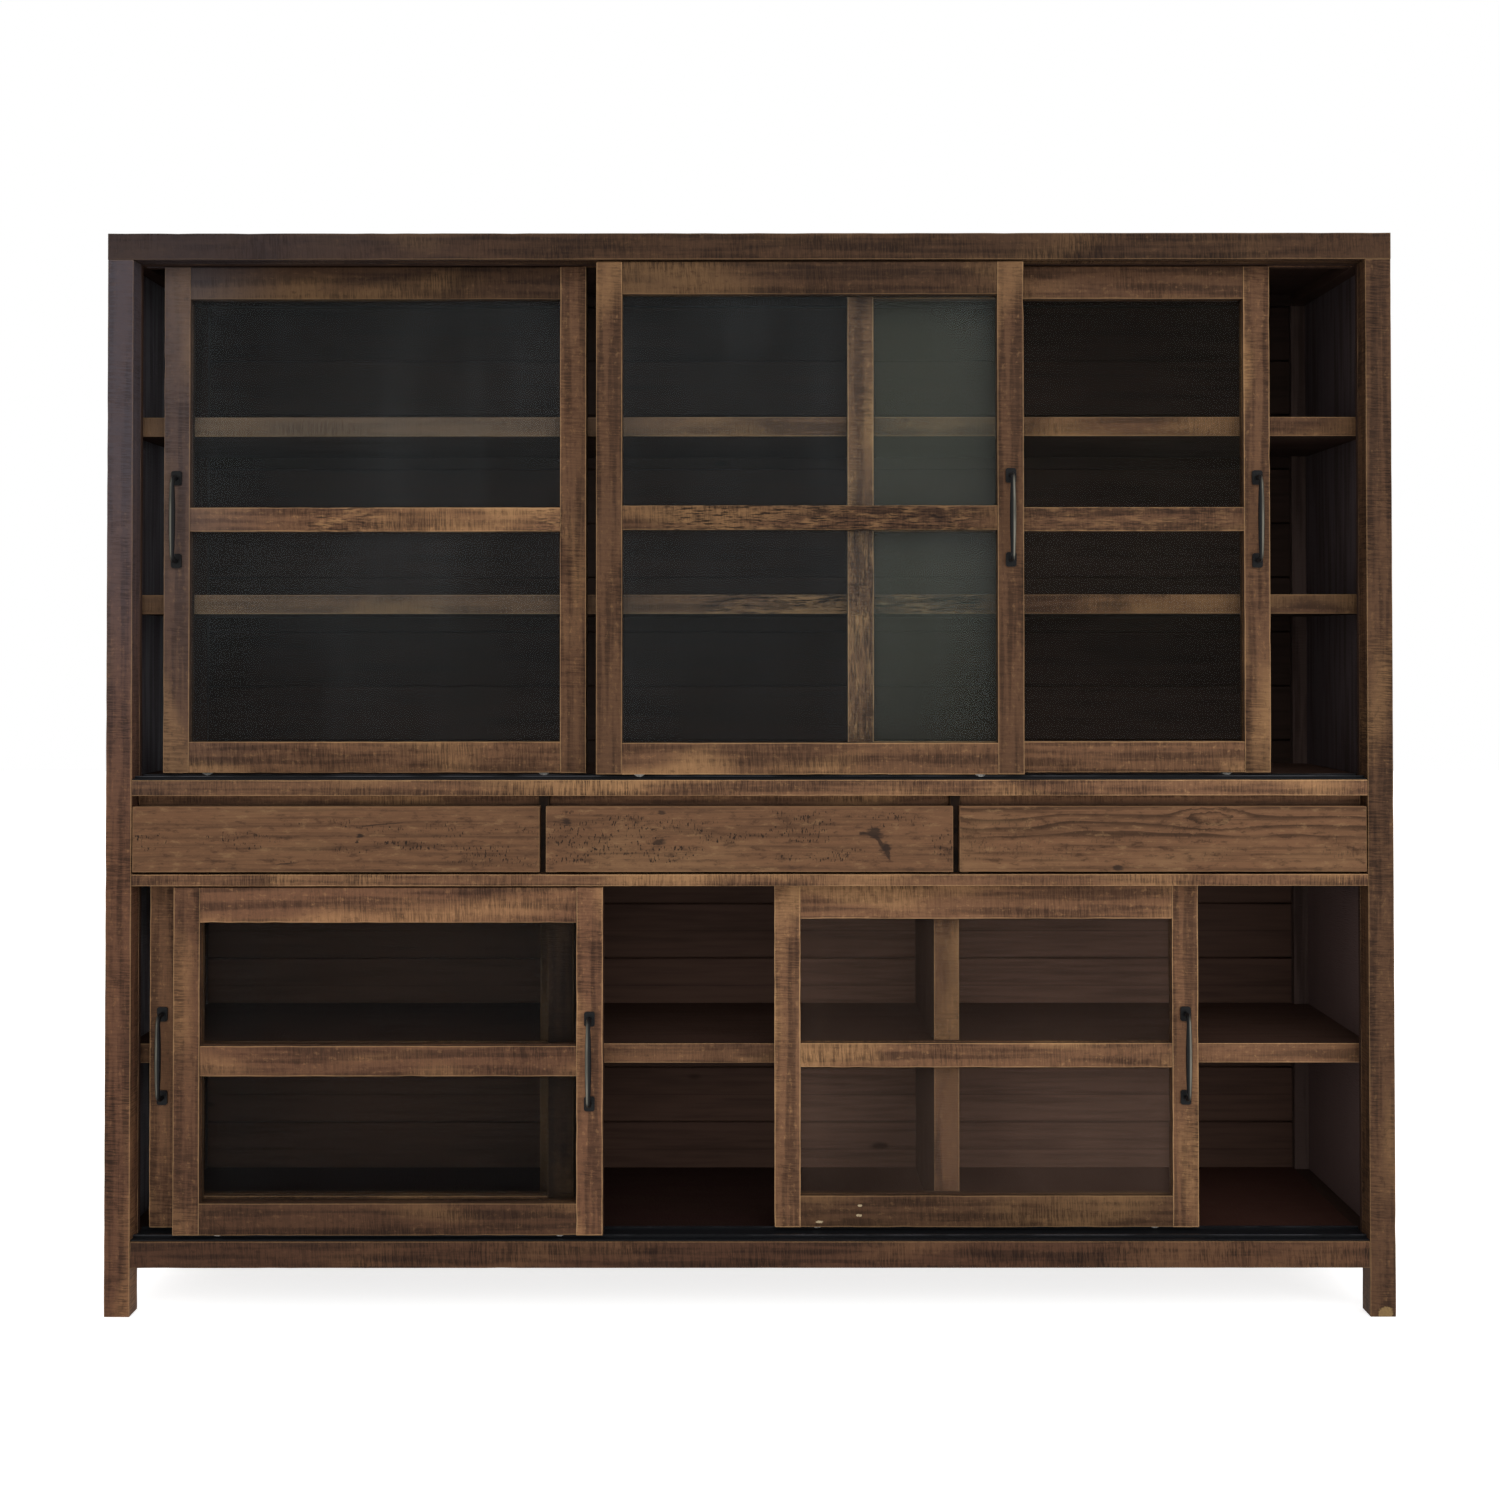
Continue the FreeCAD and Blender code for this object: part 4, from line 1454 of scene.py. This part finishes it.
    def finish_board(self, board: bmesh.types.BMesh, tone: Vector, stores: dict[str, list[Vector]],
                     draw: random.Random) -> None:
        """Cuts, bevels and wears one board, and adds its points' values to the stores.

        Args:
            board: The board, which is changed.
            tone: Its lightness, noise offset and slope.
            stores: Lists of vectors by attribute name, one vector per point.
            draw: The board's own random numbers.
        """
        low, high = self.corners(board)
        middle, half = (low + high) / 2, (high - low) / 2
        axes = sorted(range(3), key=lambda axis: -half[axis])
        self.cut_lengths(board, axes[0], low, high)
        corners = [edge for edge in board.edges if edge.calc_face_angle(0.0) > self.sharp_angle]
        sharp = [edge for edge in corners if edge.calc_length() > self.short_edge]
        bmesh.ops.bevel(board, geom=sharp, offset=self.arris.flat, segments=self.arris_steps,
                        profile=self.arris_profile, affect="EDGES", clamp_overlap=True)
        bmesh.ops.recalc_face_normals(board, faces=board.faces)
        start = draw.uniform(*self.wear_range)
        reach = self.arris.flat * self.arris_reach
        for vert in board.verts:
            offset = vert.co - middle
            gaps = [half[axis] - abs(offset[axis]) for axis in axes]
            if gaps[1] < reach and gaps[2] < reach:
                worn = self.wear_at(offset[axes[0]], start + math.copysign(self.wear_sides, offset[axes[1]]))
                for axis in axes[1:]:
                    vert.co[axis] -= math.copysign(worn, offset[axis])
            stores[Stored.PLACE.value].append(Vector([offset[axis] for axis in axes]))
            stores[Stored.HALF.value].append(Vector([half[axis] for axis in axes]))
            stores[Stored.TONE.value].append(tone)

    def wear_at(self, along: float, start: float) -> float:
        """How deep the wear of an arris goes at a place along it.

        Args:
            along: The place along the arris.
            start: The arris's own offset in the noise.

        Returns:
            The depth in metres.
        """
        place = along / self.arris.wave
        slow = noise.noise((place, start, 0.0))
        nick = noise.noise((place * self.nick_pitch, start, self.nick_layer))
        return self.arris.wear * (max(slow, 0.0) + self.nick_depth * max(nick - self.nick_start, 0.0))

    def cut_lengths(self, board: bmesh.types.BMesh, axis: int, low: Vector, high: Vector) -> None:
        """Cuts a board across at even steps, away from its own corners.

        Args:
            board: The board, which is changed.
            axis: The axis that the fibres run along.
            low: The board's lowest corner.
            high: Its highest corner.
        """
        taken = sorted({round(vert.co[axis], 5) for vert in board.verts})
        across = Vector((0.0, 0.0, 0.0))
        across[axis] = 1.0
        steps = int((high[axis] - low[axis]) / self.arris.wave)
        for step in range(1, steps):
            place = low[axis] + (high[axis] - low[axis]) * step / steps
            if min(abs(place - other) for other in taken) > self.cut_clearance * self.arris.flat:
                everything = board.verts[:] + board.edges[:] + board.faces[:]
                bmesh.ops.bisect_plane(board, geom=everything, dist=self.cut_slack, plane_co=across * place,
                                       plane_no=across)


@dataclass
class Carcass:
    """Posts, rails, panels, decks, shelves and tracks."""

    arris: Arris = Arris()
    inner_arris: Arris = Arris(flat=0.001, wear=0.0005, wave=0.12)
    # painted light and shade in the tones besides each board's own tone: the top and bottom rails darker and
    # the decks lighter, as the light falls weaker towards the top and the floor, and the drawer header far
    # lighter than its stain to stand in for light in its recess
    front_tones: dict[str, float] = field(default_factory=lambda: {
        "front_post_left": 0.95,
        "front_post_right": 0.75,
        "back_post_left": 0.85,
        "back_post_right": 0.8,
        "top_front_rail": 0.45,
        "top_back_rail": 0.5,
        "upper_deck": 1.3,
        "drawer_deck": 1.3,
        "bottom_front_rail": 0.6,
        "drawer_header": 2.35,
    })
    # painted light: the slopes lighten or darken a board along its length as the light falls across the
    # front, most of all the upper deck's front towards the right
    slopes: dict[str, float] = field(default_factory=lambda: {
        "front_post_right": -0.05,
        "upper_deck": 0.26,
        "drawer_deck": 0.06,
        "bottom_front_rail": 0.07,
        "drawer_header": 0.1,
        "top_front_rail": 0.03,
        "upper_shelves": -0.1,
    })
    # painted shade: the first lower divider is nearly black, to read as shade where it shows through a door's
    # pane
    shelf_tones: dict[str, tuple[float, ...]] = field(default_factory=lambda: {
        "upper_shelves": (0.7, 0.92),
        "lower_shelves": (1.15, 1.27, 1.58),
        "lower_dividers": (0.25, 1.0),
    })
    shelf_thickness: float = 0.034
    split_shelf: Span = (0.988, 1.508)
    plain_nodes: tuple[str, ...] = ("side_rails", "top_panel", "upper_rear_guide", "door_stops")
    partition_tones: tuple[float, ...] = (0.14, 0.14, 0.14, 0.14)
    lit_shift: Span = (0.03, 0.075)
    chip_inset: Span = (0.018, 0.007)
    chip_reach: Triple = (0.015, 0.02, 0.011)
    skin: Triple = (MILLIMETRE, MILLIMETRE, MILLIMETRE)
    corner_shade_across: float = 0.7
    corner_shade_height: Span = (0.4, 0.85)
    lit_fade: Span = (0.3, 0.05)
    left_shade_across: Span = (-0.2, -1.0)
    sill_shadow_edge: float = 0.002
    fade_across: Span = (-0.15, 0.5)
    fade_height: float = 0.81

    def build(self) -> None:
        """Makes the boards, and coats the tracks."""
        sawn = SawnTimber("sawn frame timber", interior=self.interior(), shade_and_tone=self.shade_and_tone())
        self.build_front(sawn)
        self.build_shelves(sawn)
        self.build_inside(sawn)
        self.build_back()
        self.coat_tracks()

    def interior(self) -> Interior:
        """The room between the side panels, behind the door row and in front of the back boards.

        Returns:
            That room, a skin's thickness larger all round.
        """
        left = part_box("side_panel_left")[1].x
        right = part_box("side_panel_right")[0].x
        low = Vector((left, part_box("door_stops")[0].y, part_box("bottom_deck")[1].z))
        high = Vector((right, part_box("back_boards")[0].y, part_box("top_panel")[0].z))
        return Interior(low - Vector(self.skin), high + Vector(self.skin))

    def shade_and_tone(self) -> Toning:
        """The upper left corner, darkened to a bluish grey by painted shade.

        Returns:
            The toning.
        """
        low, high = CAD_BOX
        start, full = (high.z * share for share in self.corner_shade_height)
        return Toning((0.06, 0.059, 0.074), (low.x * self.corner_shade_across, low.x), (start, full))

    def lit_corner(self, colour: Colour) -> Toning:
        """The lower right of the interior, with painted light that makes it a little less black.

        Args:
            colour: The colour there.

        Returns:
            The toning.
        """
        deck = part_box("drawer_deck")[0].z
        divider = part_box("lower_dividers")[1].x
        across, down = self.lit_fade
        return Toning(colour, (divider - across, divider), (deck, deck - down), 1.0)

    def build_front(self, sawn: SawnTimber) -> None:
        """Makes the posts, the rails and the decks that show at the front.

        Args:
            sawn: The plain timber of the carcass.
        """
        low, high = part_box("front_post_right")
        strip_low, strip_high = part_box("drawer_header")
        chip = Chip(Vector((high.x - self.chip_inset[0], low.y, self.chip_inset[1])), self.chip_reach)
        # painted shade: the top rail darkens towards the left
        start, full = (low.x * share for share in self.left_shade_across)
        left_shade = Toning((0.032, 0.026, 0.03), (start, full), (0.0, 0.1), 0.7)
        # painted shadow: the drawer header darkens towards its bottom, under the sill
        under = (strip_high.z - self.sill_shadow_edge, strip_low.z)
        sill_shadow = Toning((0.011, 0.008, 0.007), EVERYWHERE, under, 0.9)
        reddish = replace(
            sawn, name="sawn reddish timber", stain=(0.15, 0.069, 0.0384), rubbed=(0.38, 0.19, 0.09))
        special = {
            "front_post_left": reddish,
            "front_post_right": replace(
                sawn, name="sawn frame timber chipped", chips=(chip,), bare=(0.36, 0.24, 0.1)),
            # painted light: the right back post's inner faces are paler than the other inside faces
            "back_post_right": replace(sawn, name="sawn back post", inner=(0.12, 0.078, 0.066)),
            "top_front_rail": replace(sawn, name="sawn top rail", shade_and_tone=left_shade, rub=0.45),
            "drawer_header": replace(sawn, name="sawn drawer header", shade_and_tone=sill_shadow),
            "bottom_front_rail": replace(reddish, name="sawn bottom rail", rub=0.35),
        }
        for node, tone in self.front_tones.items():
            Boards(node, special.get(node, sawn), self.arris).build((tone,), self.slopes.get(node, 0.0))

    def build_shelves(self, sawn: SawnTimber) -> None:
        """Makes the shelves and the dividers, whose front edges are smoother and turn paler and greyer
        towards the upper left.

        Args:
            sawn: The plain timber of the carcass.
        """
        start, full = (CAD_BOX[0].x * share for share in self.fade_across)
        rise = (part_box("upper_deck")[1].z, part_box("front_post_right")[1].z * self.fade_height)
        upper_left_tone = Toning((0.129, 0.085, 0.057), (start, full), rise, 0.7)
        split = Weathering.on("upper_shelves", self.split_shelf, (0.0, self.shelf_thickness))
        smooth = replace(sawn, name="sawn shelf timber", saw=0.3, shade_and_tone=upper_left_tone, weathered=(split,))
        for node, tones in self.shelf_tones.items():
            Boards(node, smooth, self.inner_arris).build(tones, self.slopes.get(node, 0.0))

    def build_inside(self, sawn: SawnTimber) -> None:
        """Makes the boards that are seen only inside, from the sides or from above.

        Args:
            sawn: The plain timber of the carcass.
        """
        for node in self.plain_nodes:
            Boards(node, sawn, self.inner_arris).build()
        Boards("drawer_partitions", sawn, self.inner_arris).build(self.partition_tones)
        # painted light and shade: the inner colour differs by panel, the left panel's paler and bluish grey,
        # the right panel's paler, the bottom deck's darker, and lit_corner paints light onto the lower right
        # of the right panel and the bottom deck
        panels = {
            "side_panel_left": replace(sawn, name="sawn left panel", inner=(0.15, 0.138, 0.152)),
            "side_panel_right": replace(
                sawn,
                name="sawn right panel",
                inner=(0.11, 0.082, 0.084),
                inner_toning=self.lit_corner((0.165, 0.108, 0.098)),
            ),
            "bottom_deck": replace(
                sawn,
                name="sawn bottom deck",
                inner=(0.028, 0.0112, 0.009),
                inner_toning=self.lit_corner((0.054, 0.022, 0.0155)),
            ),
        }
        for node, finish in panels.items():
            Boards(node, finish, self.inner_arris).build()

    def build_back(self) -> None:
        """Makes the back boards and their rails, with painted light that makes them paler behind the lower
        right door.
        """
        low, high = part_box("lower_right_door_frame")
        back = InnerTimber(
            "back boards timber",
            lit_stretch=(low.x + self.lit_shift[0], high.x + self.lit_shift[1]),
            lit_height=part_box("drawer_deck")[0].z,
            outer_place=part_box("back_boards")[1].y - self.inner_arris.flat,
        )
        for node in ("back_boards", "back_rails"):
            Boards(node, back, self.inner_arris).build()

    @staticmethod
    def coat_tracks() -> None:
        """Coats the tracks, whose ribs stand equally high on both decks."""
        deck_tops = [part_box(deck)[1].z for deck in ("bottom_deck", "upper_deck")]
        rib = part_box("door_tracks")[1].z - deck_tops[1]
        coat("door_tracks", TrackPaint("track lacquer", rib_tops=tuple(top + rib for top in deck_tops)))


@dataclass
class SlidingDoor:
    """One sliding door: a frame of five boards, two panes, a pull and two rollers."""

    name: str
    row: Row
    tones: tuple[float, ...]
    glass: PaneGlass
    # the door timber paints shade onto the sideways faces of its boards
    timber: SawnTimber = SawnTimber("sawn door timber", rub=0.65, saw=0.6, arris_rub=1.0, side_shade=0.6)
    arris: Arris = Arris(flat=0.0013, wear=0.0009, wave=0.026)

    def build(self) -> None:
        """Makes the frame's boards and coats the rest."""
        Boards(self.name + "_frame", self.timber, self.arris).build(self.tones)
        coat(self.name + "_glass", self.glass)
        pull = self.name + "_pull"
        coat(pull, BlackIron(f"blackened iron {self.row.value}", front=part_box(pull)[0].y))
        for side in ("left", "right"):
            coat(f"{self.name}_roller_{side}", Nylon("roller nylon"))


@dataclass
class Drawer:
    """One drawer: a planed front with its own knots, and a plain box."""

    name: str
    tone: float
    front: PlanedPine
    box: PlanedPine = PlanedPine("planed pine boxes", (0.2, 0.115, 0.066), (0.11, 0.06, 0.034), specks=0.2)
    arris: Arris = Arris(flat=0.0011, wear=0.0005, wave=0.04)

    def build(self) -> None:
        """Makes the front and the box."""
        Boards(self.name + "_front", self.front, self.arris).build((self.tone,))
        Boards(self.name + "_box", self.box, self.arris).build()


@dataclass(frozen=True)
class Softbox:
    """A soft lamp: where it stands, the point that it faces, its width and height, and its power in watts."""

    name: str
    place: Triple
    aim: Triple
    size: Span
    power: float

    def hang(self) -> None:
        """Adds the lamp to the scene."""
        light = bpy.data.lights.new(self.name, "AREA")
        light.shape = "RECTANGLE"
        light.size, light.size_y = self.size
        light.energy = self.power
        lamp = bpy.data.objects.new(self.name, light)
        lamp.location = self.place
        lamp.rotation_euler = (Vector(self.aim) - Vector(self.place)).to_track_quat("-Z", "Y").to_euler()
        bpy.context.scene.collection.objects.link(lamp)


@dataclass
class Studio:
    """The floor, the soft lamps, the surroundings and the camera."""

    floor_half: float = 14.0
    lamps: tuple[Softbox, ...] = (
        Softbox("key softbox", (0.9, -4.2, 3.9), (0.0, 0.0, 0.75), (3.4, 1.8), 28.0),
        Softbox("side softbox", (3.4, -2.9, 1.6), (0.2, 0.0, 0.9), (0.5, 1.3), 9.0),
    )
    fill: float = 0.18
    front_light: Triple = (0.16, -1.0, 0.14)
    front_step: Span = (0.5, 0.97)
    front_level: float = 1.56
    rear_light: Triple = (-0.1, 1.0, 0.3)
    rear_step: Span = (-0.2, 0.7)
    rear_level: float = 0.95
    camera_place: Triple = (0.0035, -3.5434, 1.1435)
    camera_turn: Triple = (90.845, 0.032, 0.042)
    lens: float = 46.415
    sensor: float = 36.0
    shift: float = -0.089
    far: float = 100.0

    def build(self) -> None:
        """Makes all of it."""
        self.floor()
        self.surroundings()
        for lamp in self.lamps:
            lamp.hang()
        self.camera()
        bpy.context.scene.view_settings.view_transform = "Standard"

    def floor(self) -> None:
        """A wide pale floor under the feet."""
        side = self.floor_half
        corners = [(-side, -side, 0), (side, -side, 0), (side, side, 0), (-side, side, 0)]
        mesh = bpy.data.meshes.new("floor")
        mesh.from_pydata(corners, [], [(0, 1, 2, 3)])
        mesh.materials.append(PaleFloor("pale floor").material())
        piece = bpy.data.objects.new("floor", mesh)
        bpy.context.scene.collection.objects.link(piece)

    def surroundings(self) -> None:
        """A surround that shows as white, and that lights the object softly from the front."""
        world = bpy.data.worlds.new("white surround")
        bpy.context.scene.world = world
        bench = Bench(world)
        front = self.towards(bench, self.front_light).ramp(*self.front_step) * self.front_level
        rear = self.towards(bench, self.rear_light).ramp(*self.rear_step) * self.rear_level
        seen = bench.seen_rays()
        strength = seen + (1.0 - seen) * (front + rear + self.fill)
        shader = bench.make("ShaderNodeBackground", inputs={"Color": WHITE, "Strength": strength})
        bench.make("ShaderNodeOutputWorld", inputs={"Surface": shader})

    @staticmethod
    def towards(bench: Bench, aim: Triple) -> Sock:
        """How closely a ray's direction agrees with another, from -1 to 1."""
        inputs = {0: bench.make("ShaderNodeTexCoord", output="Generated"), 1: Vector(aim).normalized()}
        return bench.make("ShaderNodeVectorMath", {"operation": "DOT_PRODUCT"}, inputs, output="Value")

    def camera(self) -> None:
        """The camera at the photograph's place."""
        optics = bpy.data.cameras.new("camera")
        optics.lens = self.lens
        optics.sensor_width = self.sensor
        optics.shift_y = self.shift
        optics.clip_end = self.far
        camera = bpy.data.objects.new("camera", optics)
        camera.location = self.camera_place
        camera.rotation_euler = Euler([math.radians(angle) for angle in self.camera_turn])
        bpy.context.scene.collection.objects.link(camera)
        bpy.context.scene.camera = camera


def upper_doors() -> list[SlidingDoor]:
    """The doors of the upper tier; a frame's tones go left stile, bottom, middle and top rail, right stile.

    Returns:
        The three doors from left to right.
    """
    low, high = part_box("upper_left_door_frame")
    rise = (low.z, (low.z + high.z) / 2)
    # painted shade: the film thins towards the bottom of the upper panes, so that they read darker there
    plain = PaneGlass("pane glass", tint=(0.925, 0.958, 0.965), film=0.0195, film_rise=rise)
    hazy = PaneGlass(
        "pane glass with bloom",
        film_colour=(0.37, 0.345, 0.245),
        film=0.004,
        film_rise=(low.z - 0.1, rise[1]),
        bloom=0.053,
        bloom_place=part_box("upper_middle_door_frame")[1].x - 0.02,
    )
    middle_rail = (0.408, 0.473)
    left_splits = (
        Weathering.on("upper_left_door_frame", (0.248, 0.378), middle_rail, 0.8),
        Weathering.on("upper_left_door_frame", (0.638, 0.698), middle_rail, 0.8),
    )
    middle_splits = (Weathering.on("upper_middle_door_frame", (0.113, 0.663), middle_rail),)
    right_splits = (
        Weathering.on("upper_right_door_frame", (0.069, 0.669), middle_rail, 0.6),
        Weathering.on("upper_right_door_frame", (0.0, 0.045), (0.058, 0.418), 0.7, 0.004),
    )
    sawn = SlidingDoor.timber
    # painted shade: the upper left door darkens to a bluish grey towards its left and its top
    corner = Toning((0.067, 0.061, 0.068), (low.x + 0.25, low.x - 0.05), (low.z - 0.4, high.z))
    shaded = replace(sawn, name="sawn door timber greyed", shade_and_tone=corner, weathered=left_splits)
    split = replace(sawn, name="sawn door timber split", weathered=middle_splits)
    patchy = replace(sawn, name="sawn door timber patchy", weathered=right_splits)
    return [
        # painted shade in the tones: the top rails darker where the light falls weaker towards the top
        SlidingDoor("upper_left_door", Row.REAR, (0.9, 1.18, 1.26, 0.38, 0.97), plain, shaded),
        SlidingDoor("upper_middle_door", Row.FRONT, (0.8, 1.07, 0.75, 0.46, 0.8), plain, split),
        SlidingDoor("upper_right_door", Row.REAR, (1.3, 1.38, 0.95, 0.8, 0.99), hazy, patchy),
    ]


def lower_doors() -> list[SlidingDoor]:
    """The doors of the lower tier, with their tones in the same order.

    Returns:
        The three doors from left to right.
    """
    clear = PaneGlass("pane glass lower", film=0.0015, bend=1.05)
    # painted light: the brownish film stands in for light falling on the back boards behind this pane, and is
    # stronger towards the bottom
    warm_light = replace(
        clear, name="pane glass warm", film=0.034, film_colour=(0.5, 0.32, 0.24), film_rise=(0.5, 0.3))
    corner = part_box("lower_right_door_frame")[0]
    chips = (
        Chip(corner + Vector((0.078, 0.0, 0.009)), (0.0075, 0.01, 0.0023)),
        Chip(corner + Vector((0.146, 0.0, 0.02)), (0.0055, 0.01, 0.0026)),
        Chip(corner + Vector((0.148, 0.0, 0.037)), (0.005, 0.01, 0.0022)),
    )
    sawn = SlidingDoor.timber
    reddish = replace(
        sawn, name="sawn door timber reddish", stain=(0.15, 0.071, 0.0384), rubbed=(0.375, 0.196, 0.09))
    chipped = replace(sawn, name="sawn door timber chipped", chips=chips)
    return [
        # painted shade in the tones: the bottom rails darker where the light falls weaker towards the floor,
        # and the left door's right stile nearly black to read as shade where it shows through the middle
        # door's pane
        SlidingDoor("lower_left_door", Row.REAR, (1.23, 0.75, 0.9, 1.0, 0.14), clear),
        SlidingDoor("lower_middle_door", Row.FRONT, (0.94, 0.6, 1.02, 1.22, 1.31), clear, reddish),
        SlidingDoor("lower_right_door", Row.REAR, (1.5, 0.71, 1.43, 1.56, 1.35), warm_light, chipped),
    ]


def drawers() -> list[Drawer]:
    """The drawers, each with the knots and figure of its own front.

    Returns:
        The three drawers from left to right.
    """
    left = PlanedPine(
        "planed pine left drawer",
        knots=(Knot(0.041, 0.006, 0.007, 1.2, 0.9), Knot(0.036, -0.004, 0.004, 1.0, 0.9)),
        cracks=(Crack((0.035, 0.021), (0.125, 0.03)), Crack((-0.105, -0.043), (-0.06, -0.04))),
        specks=1.0,
        speck_band=(-0.006, 0.05),
    )
    middle = PlanedPine(
        "planed pine middle drawer",
        knots=(
            Knot(0.233, -0.018, 0.013, 1.0, 0.9),
            Knot(0.213, 0.012, 0.011, 1.5, 0.85),
            Knot(-0.15, 0.045, 0.006, 1.6, 0.75),
            Knot(-0.312, 0.03, 0.009, 1.3, 0.8),
            Knot(-0.155, -0.004, 0.01, 1.7, 0.8),
        ),
        cracks=(
            Crack((0.206, 0.022), (0.242, -0.034), 0.009, 0.1),
            Crack((0.186, 0.008), (0.22, 0.012), 0.004, 0.1),
        ),
        specks=1.0,
        speck_band=(0.0, 0.06),
    )
    right = PlanedPine(
        "planed pine right drawer",
        knots=(
            Knot(0.082, 0.036, 0.011, 3.4, 0.0),
            Knot(-0.077, -0.05, 0.008),
            Knot(-0.087, -0.008, 0.005, 1.4, 0.3),
        ),
        late=(0.036, 0.0175, 0.009),
        figure=1.0,
        figure_band=(0.03, 0.04),
        specks=0.4,
    )
    return [
        Drawer("left_drawer", 0.98, left),
        Drawer("middle_drawer", 1.03, middle),
        Drawer("right_drawer", 1.09, right),
    ]


def main() -> None:
    """Builds the dresser's looks and the studio."""
    logging.basicConfig(level=logging.INFO, format="%(name)s %(message)s")
    Carcass().build()
    for part in (*upper_doors(), *lower_doors(), *drawers()):
        part.build()
    Studio().build()


if __name__ == "__main__":
    main()
